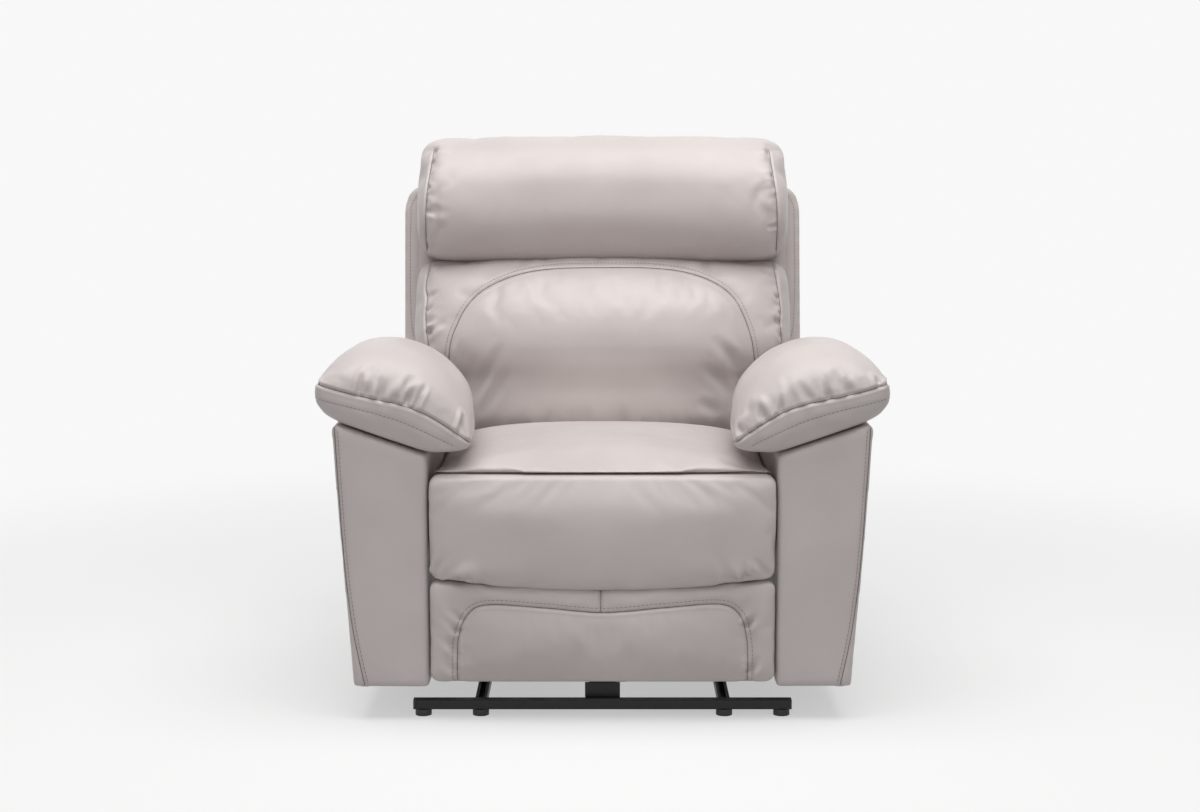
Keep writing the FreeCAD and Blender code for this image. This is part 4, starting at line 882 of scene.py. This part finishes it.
def thin_panel(name, spots, faces, body):
    """A plain sheet of leather, two millimetres thick, that rides on one body."""
    sheet = make_piece(name, spots, faces, leather)
    sheet.modifiers.new("thickness", "SOLIDIFY").thickness = SHEET_THICK
    settle(sheet)
    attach(sheet, body)
    print(name, "made of", len(sheet.data.polygons), "faces on", body)


deck_spots = []
deck_faces = []
for share in np.linspace(0, 1, DECK_ROWS):
    for x in np.linspace(-DECK_HALF, DECK_HALF, DECK_COLUMNS):
        sag = DECK_SAG * math.sin(math.pi * share) * (1 - (x / DECK_HALF) ** 2)
        deck_spots.append((x, DECK_FRONT + share * (DECK_REAR - DECK_FRONT),
                           DECK_TOP - DECK_FALL * share - sag))
for corner in range(len(deck_spots) - DECK_COLUMNS):
    if corner % DECK_COLUMNS < DECK_COLUMNS - 1:
        deck_faces.append((corner, corner + 1, corner + DECK_COLUMNS + 1, corner + DECK_COLUMNS))
thin_panel("seat_deck", deck_spots, deck_faces, "seat")

# %% [markdown]
# The lumbar cushion is a pear-shaped bag of fibre on the back: narrow between the arms, wide above
# them. A bow-shaped seam is sewn through its face with one row of topstitching outside it, and
# short side panels close the bag. The filling swells on each side of those seams.

# %% Lumbar cushion
RAKE = math.radians(11)
BACK_FOOT = np.array([0, 0.32819, 0.148])
UP_BACK = np.array([0, math.sin(RAKE), math.cos(RAKE)])
INTO_BACK = np.array([0, math.cos(RAKE), -math.sin(RAKE)])
BELLY_DEPTH, BELLY_HEIGHT, BELLY_SPREAD = 0.026, 0.475, 0.095
TUCK_DEPTH, TUCK_TOP, TUCK_RUN = 0.012, 0.38, 0.08
LUMBAR_HALF, LUMBAR_BED, LUMBAR_RUN, LUMBAR_FOOT = 0.34, -0.13, 0.05, 0.214
STITCH_BESIDE = 0.0075
BOW = [(-0.296, 0.44), (-0.297, 0.541), (-0.285, 0.608), (-0.24, 0.676), (-0.145, 0.717),
       (0, 0.726), (0.15, 0.719), (0.24, 0.682), (0.279, 0.618), (0.294, 0.541), (0.294, 0.44)]
LUMBAR_LEFT = [(-0.336, 0.735), (-0.345, 0.69), (-0.341, 0.665), (-0.343, 0.63), (-0.337, 0.58),
               (-0.325, 0.545)]
LUMBAR_RIGHT = [(0.334, 0.735), (0.341, 0.69), (0.346, 0.645), (0.344, 0.62), (0.346, 0.58),
                (0.328, 0.545)]
SLACK_FOLDS = (([(-0.25, 0.47), (-0.225, 0.52), (-0.19, 0.59)], 0.0035),
               ([(-0.235, 0.44), (-0.205, 0.49), (-0.18, 0.54)], 0.003),
               ([(0.261, 0.525), (0.245, 0.56), (0.21, 0.60)], 0.0035),
               ([(0.245, 0.48), (0.222, 0.515), (0.19, 0.55)], 0.0035),
               ([(0.225, 0.445), (0.205, 0.462), (0.18, 0.475)], 0.003))


def on_back(rows):
    """How deep into the back and how far up the back each point lies."""
    from_foot = rows - BACK_FOOT
    return from_foot @ INTO_BACK, from_foot @ UP_BACK


lumbar = cut_cover(block_of("lumbar_cushion"), "lumbar_cushion_cover", voxel=0.006, rounds=8)
rows = points_of(lumbar.data)
depth_in, height_up = on_back(rows)
on_front = share_of(LUMBAR_BED - depth_in, LUMBAR_RUN)
across = np.clip(1 - (rows[:, 0] / LUMBAR_HALF) ** 2, 0, 1)
belly = BELLY_DEPTH * np.exp(-((height_up - BELLY_HEIGHT) / BELLY_SPREAD) ** 2)
tuck = TUCK_DEPTH * share_of(TUCK_TOP - height_up, TUCK_RUN)
move_points(lumbar.data, rows - ((belly - tuck) * across * on_front)[:, None] * INTO_BACK)
bow_line = front_line(BOW)
bow = (bow_line, FRONT)
sides = [(front_line(LUMBAR_LEFT), FRONT), (front_line(LUMBAR_RIGHT), FRONT)]
held = draw_in(lumbar, [bow, *sides], depth=0.0045, width=0.012)
depth_in, height_up = on_back(points_of(lumbar.data))
held |= (depth_in > LUMBAR_BED) | (height_up < LUMBAR_FOOT)
fill(lumbar, held, pressure=3.5, cap=0.009, slack=0.02)
finer(lumbar)
skin = surface(lumbar)
folds = gathers_at_both([trace(skin, plan)[0] for plan in sides], count=11, length=0.065,
                        depth=0.0042, seed=40, lean=(0.85, 0, 0.3))
for knots, depth in SLACK_FOLDS:
    folds.append(Furrow(trace(skin, (front_line(knots), FRONT))[0], depth, width=0.010, shade=0.0,
                        lip=0.6 * depth, free_ends=2))
close_cover(lumbar, "lumbar_cushion", "back", [bow, *sides],
            [(beside(bow_line, STITCH_BESIDE, FRONT), FRONT)], folds)

# %% [markdown]
# The head pillow is a plain bolster over the top of the back. Its face is one panel with a narrow
# gusset at each end. It is pulled under at its foot, so a few soft folds rise from there.

# %% Head pillow
DOWN_FRONT = (0, 0.93, -0.36)
PILLOW_BED, PILLOW_TUCK, PILLOW_TUCK_TOP = -0.055, -0.1, 0.62
PILLOW_LEFT = [(-0.334, 0.752), (-0.341, 0.80), (-0.343, 0.86), (-0.341, 0.92), (-0.336, 0.985),
               (-0.33, 1.05)]
PILLOW_RIGHT = [(0.339, 0.752), (0.341, 0.80), (0.339, 0.86), (0.337, 0.92), (0.331, 0.985),
                (0.326, 1.05)]
PILLOW_FOOT = [(-0.338, 0.7575), (-0.17, 0.755), (0, 0.7545), (0.17, 0.756), (0.34, 0.760)]
pillow = cut_cover(block_of("head_pillow"), "head_pillow_cover", voxel=0.006, rounds=9)
ends = [(front_line(PILLOW_LEFT), DOWN_FRONT), (front_line(PILLOW_RIGHT), DOWN_FRONT)]
held = draw_in(pillow, ends, depth=0.003, width=0.01)
depth_in, height_up = on_back(points_of(pillow.data))
held |= (depth_in > PILLOW_BED) | ((depth_in > PILLOW_TUCK) & (height_up < PILLOW_TUCK_TOP))
fill(pillow, held, pressure=4.5, cap=0.014, slack=0.012)
finer(pillow)
skin = surface(pillow)
folds = gathers_at_both([trace(skin, plan)[0] for plan in ends], count=13, length=0.06,
                        depth=0.0034, seed=60, lean=(0.95, 0, -0.12))
folds += gathers(trace(skin, (front_line(PILLOW_FOOT), FRONT))[0], count=10, length=0.11,
                 depth=0.0022, seed=62, lean=(-0.15, 0, 0.9), shade=0.0)
close_cover(pillow, "head_pillow", "back", ends, (), folds)

# %% [markdown]
# The footrest is a board with two pads. The upper one hangs from the seat's front edge as a plain
# drop panel. The lower edge of that panel hangs in a bow, and the leather is gathered at both of
# its ends.

# %% Upper footrest pad
BOARD_Y = -0.43
PANEL_LOW, PANEL_HIGH, PANEL_HELD = 0.2315, 0.4215, 0.4165
CREASE_RISE, CREASE_BOW, CREASE_HALF = 0.002, 0.020, 0.29
BOW_START, BOW_RUN, BOW_ROUND = 0.30, 0.06, 0.02
CREASE_Y, CREASE_END = -0.46, 0.2
CREASE = [(-0.287, 0.251), (-0.15, 0.241), (0, 0.237), (0.15, 0.242), (0.287, 0.254)]
upper = cut_cover(block_of("upper_footrest_pad"), "upper_footrest_cover", voxel=0.005, rounds=5)
stretch_to(upper, (-SEAT_HALF, None, PANEL_LOW), (SEAT_HALF, None, PANEL_HIGH))
rows = points_of(upper.data)
low_front = share_of(BOW_START - rows[:, 2], BOW_RUN) * share_of(BOARD_Y - rows[:, 1], BOW_ROUND)
rows[:, 2] += (CREASE_RISE - CREASE_BOW * (1 - (rows[:, 0] / CREASE_HALF) ** 2)) * low_front
move_points(upper.data, rows)
held = (rows[:, 1] > BOARD_Y) | (rows[:, 2] > PANEL_HELD)
fill(upper, held, pressure=4.5, cap=0.009, slack=0.012, low=(-SEAT_HALF, -0.485, 0.206),
     high=(SEAT_HALF, -0.40, 0.4218))
finer(upper)
crease = trace(surface(upper), (front_line(CREASE, CREASE_Y), FRONT))[0]
folds = gathers_at_both([crease[crease[:, 0] < -CREASE_END], crease[crease[:, 0] > CREASE_END]],
                        count=8, length=0.06, depth=0.0035, seed=80, lean=(0.35, 0, 0.85))
close_cover(upper, "upper_footrest_pad", "footrest", folds=folds)

# %% [markdown]
# The lower pad has a shaped seam with a row of topstitching beside it and a short seam in the
# middle above it. Its two ends are left soft, so the leather folds at the corners of the seam.

# %% Lower footrest pad
LEG_TOP, LEG_HELD = 0.2435, 0.07
SHAPE_Y, SHAPE_END = -0.463, 0.22
SHAPE = [(-0.244, 0.068), (-0.244, 0.11), (-0.241, 0.15), (-0.225, 0.188), (-0.19, 0.204),
         (-0.095, 0.199), (0, 0.1915), (0.097, 0.199), (0.195, 0.205), (0.23, 0.186),
         (0.242, 0.145), (0.244, 0.11), (0.244, 0.068)]
MIDDLE = [(-0.003, 0.231), (-0.003, 0.193)]
lower = cut_cover(block_of("lower_footrest_pad"), "lower_footrest_cover", voxel=0.005, rounds=5)
stretch_to(lower, (-SEAT_HALF, None, None), (SEAT_HALF, None, LEG_TOP))
shape_line = front_line(SHAPE, SHAPE_Y)
shape = (shape_line, FRONT)
middle = (front_line(MIDDLE, SHAPE_Y), FRONT)
held = draw_in(lower, [shape, middle], depth=0.0035, width=0.009)
rows = points_of(lower.data)
held |= (rows[:, 1] > BOARD_Y) | (rows[:, 2] < LEG_HELD)
fill(lower, held, pressure=4.0, cap=0.008, slack=0.015, low=(-SEAT_HALF, -0.478, 0.062),
     high=(SEAT_HALF, -0.40, LEG_TOP))
finer(lower)
line = trace(surface(lower), shape)[0]
folds = gathers_at_both([line[line[:, 0] < -SHAPE_END], line[line[:, 0] > SHAPE_END]], count=8,
                        length=0.045, depth=0.0028, seed=90, lean=(-0.6, 0, 0.75))
close_cover(lower, "lower_footrest_pad", "footrest", [shape, middle],
            [(beside(shape_line, STITCH_BESIDE, FRONT), FRONT)], folds)

# %% [markdown]
# The arm pads are overstuffed pillows that spill over the tops of the arms. A band runs round the
# front and the outside of each, with a second row of stitches along its middle, and the top panel
# is gathered into the seam above that band.

# %% Filling of the arm pads
PAD_SECTION = [(0.481, 0.556), (0.478, 0.574), (0.470, 0.589), (0.454, 0.605), (0.428, 0.622),
               (0.402, 0.630), (0.370, 0.632), (0.336, 0.626), (0.300, 0.611), (0.268, 0.587),
               (0.241, 0.556), (0.225, 0.524), (0.219, 0.497), (0.2175, 0.480), (0.222, 0.466),
               (0.238, 0.460), (0.264, 0.4585), (0.292, 0.4595), (0.345, 0.4765), (0.400, 0.4955),
               (0.440, 0.5095), (0.463, 0.5215), (0.476, 0.537)]
PAD_BROW = [(0.475, 0.574), (0.453, 0.568), (0.415, 0.559), (0.373, 0.550), (0.340, 0.543),
            (0.302, 0.530), (0.264, 0.508), (0.236, 0.487), (0.216, 0.472)]
PAD_FRONT, PAD_REAR = -0.458, 0.070
PAD_LENGTH = PAD_REAR - PAD_FRONT
TOP_RUN, FOOT_RUN, REAR_RUN = 0.125, 0.026, 0.05
PAD_OUTER, PAD_WIDTH, PAD_MIDDLE = 0.481, 0.264, 0.346
FOOT_SQUARE = 2.6
REAR_SHRINK, REAR_SHIFT, REAR_START, REAR_LENGTH = 0.36, 0.024, 0.18, 0.3
SPINE_BLEND = 0.03
CORNER_BACK, CORNER_HALF, CORNER_POWER = 0.022, 0.13, 3.5
RING_STEP, PAD_STEP = 0.006, 0.007


def bulge(distance, run, square=2.0):
    """A quarter-round swell: none at the start, full after the run. A high square is boxier."""
    return np.clip(1 - (1 - share_of(distance, run)) ** square, 0, 1) ** (1 / square)


def pad_block(sign):
    """The filling of an arm pad: its section, drawn along the arm and rounded at both ends."""
    ring = smooth_line([(x, 0, z) for x, z in PAD_SECTION + PAD_SECTION[:1]], RING_STEP)[:-1]
    brow = np.array(PAD_BROW)[::-1]
    spine_x = np.clip(ring[:, 0], brow[0, 0], brow[-1, 0])
    spine_z = np.interp(spine_x, brow[:, 0], brow[:, 1])
    over = np.clip(0.5 + (ring[:, 2] - spine_z) / SPINE_BLEND, 0, 1)
    corner = CORNER_BACK * (np.abs(spine_x - PAD_MIDDLE) / CORNER_HALF) ** CORNER_POWER
    inner_share = (PAD_OUTER - ring[:, 0]) / PAD_WIDTH
    front_turn = np.linspace(0.02, math.pi / 2, 26)
    rear_turn = np.linspace(0.02, 1.55, 16)
    lead = np.concatenate([TOP_RUN * (1 - np.cos(front_turn)),
                           np.arange(TOP_RUN + PAD_STEP, PAD_LENGTH - REAR_RUN, PAD_STEP),
                           PAD_LENGTH - REAR_RUN * (1 - np.sin(rear_turn))])
    spots = []
    for run in lead:
        rearward = share_of(run - REAR_START, REAR_LENGTH)
        size = (over * bulge(run, TOP_RUN) * (1 - REAR_SHRINK * rearward)
                + (1 - over) * bulge(run, FOOT_RUN, FOOT_SQUARE))
        size = size * bulge(PAD_LENGTH - run, REAR_RUN)
        y = PAD_FRONT + run + corner * (1 - 2 * run / PAD_LENGTH)
        x = spine_x + (ring[:, 0] - spine_x) * size + REAR_SHIFT * rearward * inner_share
        z = spine_z + (ring[:, 2] - spine_z) * size
        spots += list(np.column_stack([sign * x, y, z]))
    count = len(ring)
    faces = ring_faces(0, len(lead), count)
    faces.append(tuple(range(count))[::-1])
    faces.append(tuple(range(len(spots) - count, len(spots))))
    if sign > 0:
        faces = [face[::-1] for face in faces]
    block = bpy.data.meshes.new("pad_block")
    block.from_pydata([tuple(spot) for spot in spots], [], faces)
    print("filling of an arm pad with", len(lead), "sections of", count, "points")
    return block


# %% Covers of the arm pads
SIDES = (("left", -1), ("right", 1))
ARM_LINE_Y = -0.45
PAD_BED = -0.75
PAD_LEAN = 0.3
BAND_DROP = np.array([0, 0, 0.024])
PAD_BAND = [(0.474, 0.549), (0.430, 0.540), (0.383, 0.529), (0.335, 0.514), (0.298, 0.498),
            (0.265, 0.481), (0.240, 0.467)]
PAD_FLANK = [(0.48, -0.432, 0.574), (0.48, -0.2, 0.573), (0.48, 0.04, 0.57)]


def side_line(points, sign):
    """A line on one side of the chair, from points on its right side."""
    return smooth_line([(sign * x, y, z) for x, y, z in points])


for side, sign in SIDES:
    pad = cut_cover(pad_block(sign), f"arm_pad_{side}_cover", voxel=0.005, rounds=4)
    inward = (-sign, 0, 0)
    flank_line = side_line(PAD_FLANK, sign)
    brow = (front_line(PAD_BROW, ARM_LINE_Y, sign), FRONT)
    flank = (flank_line, inward)
    held = draw_in(pad, [brow, flank], depth=0.0015, width=0.007)
    held |= facing_of(pad.data)[:, 2] < PAD_BED
    fill(pad, held, pressure=4.5, cap=0.006, slack=0.015)
    finer(pad)
    skin = surface(pad)
    folds = gathers(trace(skin, brow)[0], count=14, length=0.075, depth=0.0058, seed=100 + sign,
                    lean=(-PAD_LEAN * sign, 0.25, 0.85))
    folds += gathers(trace(skin, flank)[0], count=13, length=0.055, depth=0.0042, seed=110 + sign,
                     lean=(-PAD_LEAN * sign, 0, 0.85))
    close_cover(pad, f"arm_pad_{side}", "base", [brow, flank],
                [(front_line(PAD_BAND, ARM_LINE_Y, sign), FRONT), (flank_line - BAND_DROP, inward)],
                folds)

# %% [markdown]
# The arms are boxes of wood under a thin layer of foam, so their leather lies flat and tight. The
# front panel meets the outside panel in a seam that runs from the top corner inwards as it goes
# down. The seam is topstitched on its inner side, and the hem is tacked under the arm.

# %% Arm covers
WAVES = 7
ARM_FRONT = -0.443
CORNER_STITCH = -0.006
REAR_STITCH = np.array([0, 0.008, 0])
ARM_CORNER = [(0.446, 0.50), (0.441, 0.40), (0.433, 0.27), (0.42, 0.16), (0.401, 0.062)]
ARM_HEM = [(0.44, -0.425, 0.078), (0.44, -0.05, 0.078), (0.44, 0.30, 0.078)]
ARM_REAR = [(0.45, 0.29, 0.49), (0.44, 0.29, 0.28), (0.44, 0.29, 0.07)]


def soften(piece, height, scale, seed):
    """Gives a tight cover the slight unevenness of foam under leather."""
    chance = np.random.default_rng(seed)
    rows = points_of(piece.data)
    wave = np.zeros(len(rows))
    for _ in range(WAVES):
        wave += np.sin(rows @ chance.normal(0, scale, 3) + chance.uniform(0, 2 * math.pi))
    move_points(piece.data, rows + facing_of(piece.data) * (height * wave / WAVES)[:, None])


for side, sign in SIDES:
    arm = cut_cover(block_of(f"arm_cover_{side}"), f"arm_{side}_cover", voxel=0.006, rounds=5)
    soften(arm, height=0.0022, scale=9.0, seed=200 + sign)
    finer(arm)
    inward = (-sign, 0, 0)
    corner_line = front_line(ARM_CORNER, ARM_FRONT, sign)
    rear_line = side_line(ARM_REAR, sign)
    close_cover(arm, f"arm_cover_{side}", "base", [(corner_line, FRONT), (rear_line, inward)],
                [(beside(corner_line, CORNER_STITCH * sign, FRONT), FRONT),
                 (side_line(ARM_HEM, sign), inward), (rear_line - REAR_STITCH, inward)])

# %% [markdown]
# The back shell carries the wings that show on both sides of the cushions. It is a padded board
# with a boxing strip round its edge. A row of topstitching runs on the front and on the outside
# back, a finger's width in from that strip.

# %% Back shell
WING_START, WING_RUN = 0.335, 0.035
WING_LIFT, WING_SPREAD = 0.015, 0.011
LIFT_START, LIFT_RUN = 0.55, 0.14
FACE_DEPTH, REAR_DEPTH = -0.12, 0.05
WING_EDGE = [(0.29, 0.402), (0.345, 0.408), (0.376, 0.42), (0.384, 0.50), (0.384, 0.655),
             (0.38, 0.69), (0.358, 0.71), (0.31, 0.706), (0.0, 0.706)]
LOW_EDGE = [(0.266, 0.03), (0.267, 0.25), (0.27, 0.36)]


def back_spots(points, depth, sign=1):
    """Places points given as distance from the middle and height up the back."""
    return [BACK_FOOT + np.array([sign * x, 0, 0]) + v * UP_BACK + depth * INTO_BACK
            for x, v in points]


shell = cut_cover(block_of("back_shell"), "back_shell_cover", voxel=0.006, rounds=6)
rows = points_of(shell.data)
height_up = on_back(rows)[1]
outside = share_of(np.abs(rows[:, 0]) - WING_START, WING_RUN)
rows += (WING_LIFT * outside * share_of(height_up - LIFT_START, LIFT_RUN))[:, None] * UP_BACK
rows[:, 0] *= 1 + WING_SPREAD * outside
move_points(shell.data, rows)
soften(shell, height=0.0018, scale=8.0, seed=300)
finer(shell)
edge_rows = []
for sign in (-1, 1):
    edge_rows.append((smooth_line(back_spots(WING_EDGE, FACE_DEPTH, sign)), INTO_BACK))
    edge_rows.append((smooth_line(back_spots(LOW_EDGE + WING_EDGE, REAR_DEPTH, sign)), -INTO_BACK))
close_cover(shell, "back_shell", "back", (), edge_rows)

# %% [markdown]
# The front of the shell is closed by a plain panel that the cushions are tacked to. Only narrow
# strips of it show, beside and between the cushions, so a flat sheet is enough.

# %% Front panel of the back
PANEL_DEPTH = -0.1095
PANEL_SIDE = [(0.258, 0.06), (0.258, 0.405), (0.368, 0.412), (0.368, 0.69), (0.34, 0.70)]
panel_edge = PANEL_SIDE + [(-x, v) for x, v in reversed(PANEL_SIDE)]
thin_panel("back_front_panel", back_spots(panel_edge, PANEL_DEPTH),
           [tuple(range(len(panel_edge)))], "back")

# %% [markdown]
# The links of the footrest turn on shouldered studs, and each stud is closed with a pressed rivet
# head over a washer. The heads sit in the gaps between the layers of links, so they are flat.

# %% Rivet heads
HEAD_RADIUS, HEAD_HEIGHT, HEAD_SIDES = 0.0072, 0.0022, 20
HEAD_PROFILE = ((1.28, 0.0), (1.28, 0.22), (1.0, 0.24), (0.98, 0.6), (0.8, 0.88), (0.45, 1.0))
PLATE_INSIDE, BRACKET_OUTSIDE = 0.214, 0.236
LINK_INSIDE, LINK_OUTSIDE = 0.206, 0.218
INWARD, OUTWARD = -1, 1
RIVETS = (
    ("seat_rivets", "seat", ((PLATE_INSIDE, -0.205, 0.280, INWARD),
                             (PLATE_INSIDE, -0.265156, 0.315795, INWARD),
                             (BRACKET_OUTSIDE, 0.23619, 0.305, OUTWARD))),
    ("drive_link_rivets", "drive_links", ((LINK_INSIDE, -0.105, 0.110, INWARD),
                                          (LINK_INSIDE, -0.130351, 0.153097, INWARD))),
    ("reach_link_rivets", "reach_links", ((LINK_OUTSIDE, -0.165156, 0.145795, OUTWARD),
                                          (LINK_OUTSIDE, -0.347, 0.254, OUTWARD))),
    ("guide_link_rivets", "guide_links", ((LINK_OUTSIDE, -0.372351, 0.297097, OUTWARD),)),
)
rivet_finish = make_finish("rivet_zinc", (0.36, 0.355, 0.345), (0.5, 0.495, 0.48), 0.35, metal=1.0,
                           scale=90.0)


def rivet_heads(name, body, places):
    """Domed heads with a washer under each. A place is a point and the side it faces."""
    levels = len(HEAD_PROFILE)
    spots = []
    faces = []
    for (x, y, z), facing in places:
        base = len(spots)
        for wide, up in HEAD_PROFILE:
            for turn in range(HEAD_SIDES):
                angle = turn * 2 * math.pi / HEAD_SIDES
                spots.append((x + facing * up * HEAD_HEIGHT,
                              y + wide * HEAD_RADIUS * math.cos(angle),
                              z + wide * HEAD_RADIUS * math.sin(angle)))
        head = ring_faces(base, levels, HEAD_SIDES)
        head.append(tuple(range(len(spots) - HEAD_SIDES, len(spots))))
        faces += head if facing > 0 else [face[::-1] for face in head]
    piece = make_piece(name, spots, faces, rivet_finish)
    shade_smooth(piece.data)
    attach(piece, body)
    print(name, len(places), "heads on", body)


for name, body, studs in RIVETS:
    rivet_heads(name, body, [((sign * x, y, z), sign * facing) for sign in (-1, 1)
                             for x, y, z, facing in studs])

# %% [markdown]
# The dressed chair has to stay the size that was drawn, apart from the little that leather and
# filling stand proud. Its colours are shown as they are written, with the plain view transform.

# %% View transform
scene.view_settings.view_transform = "Standard"
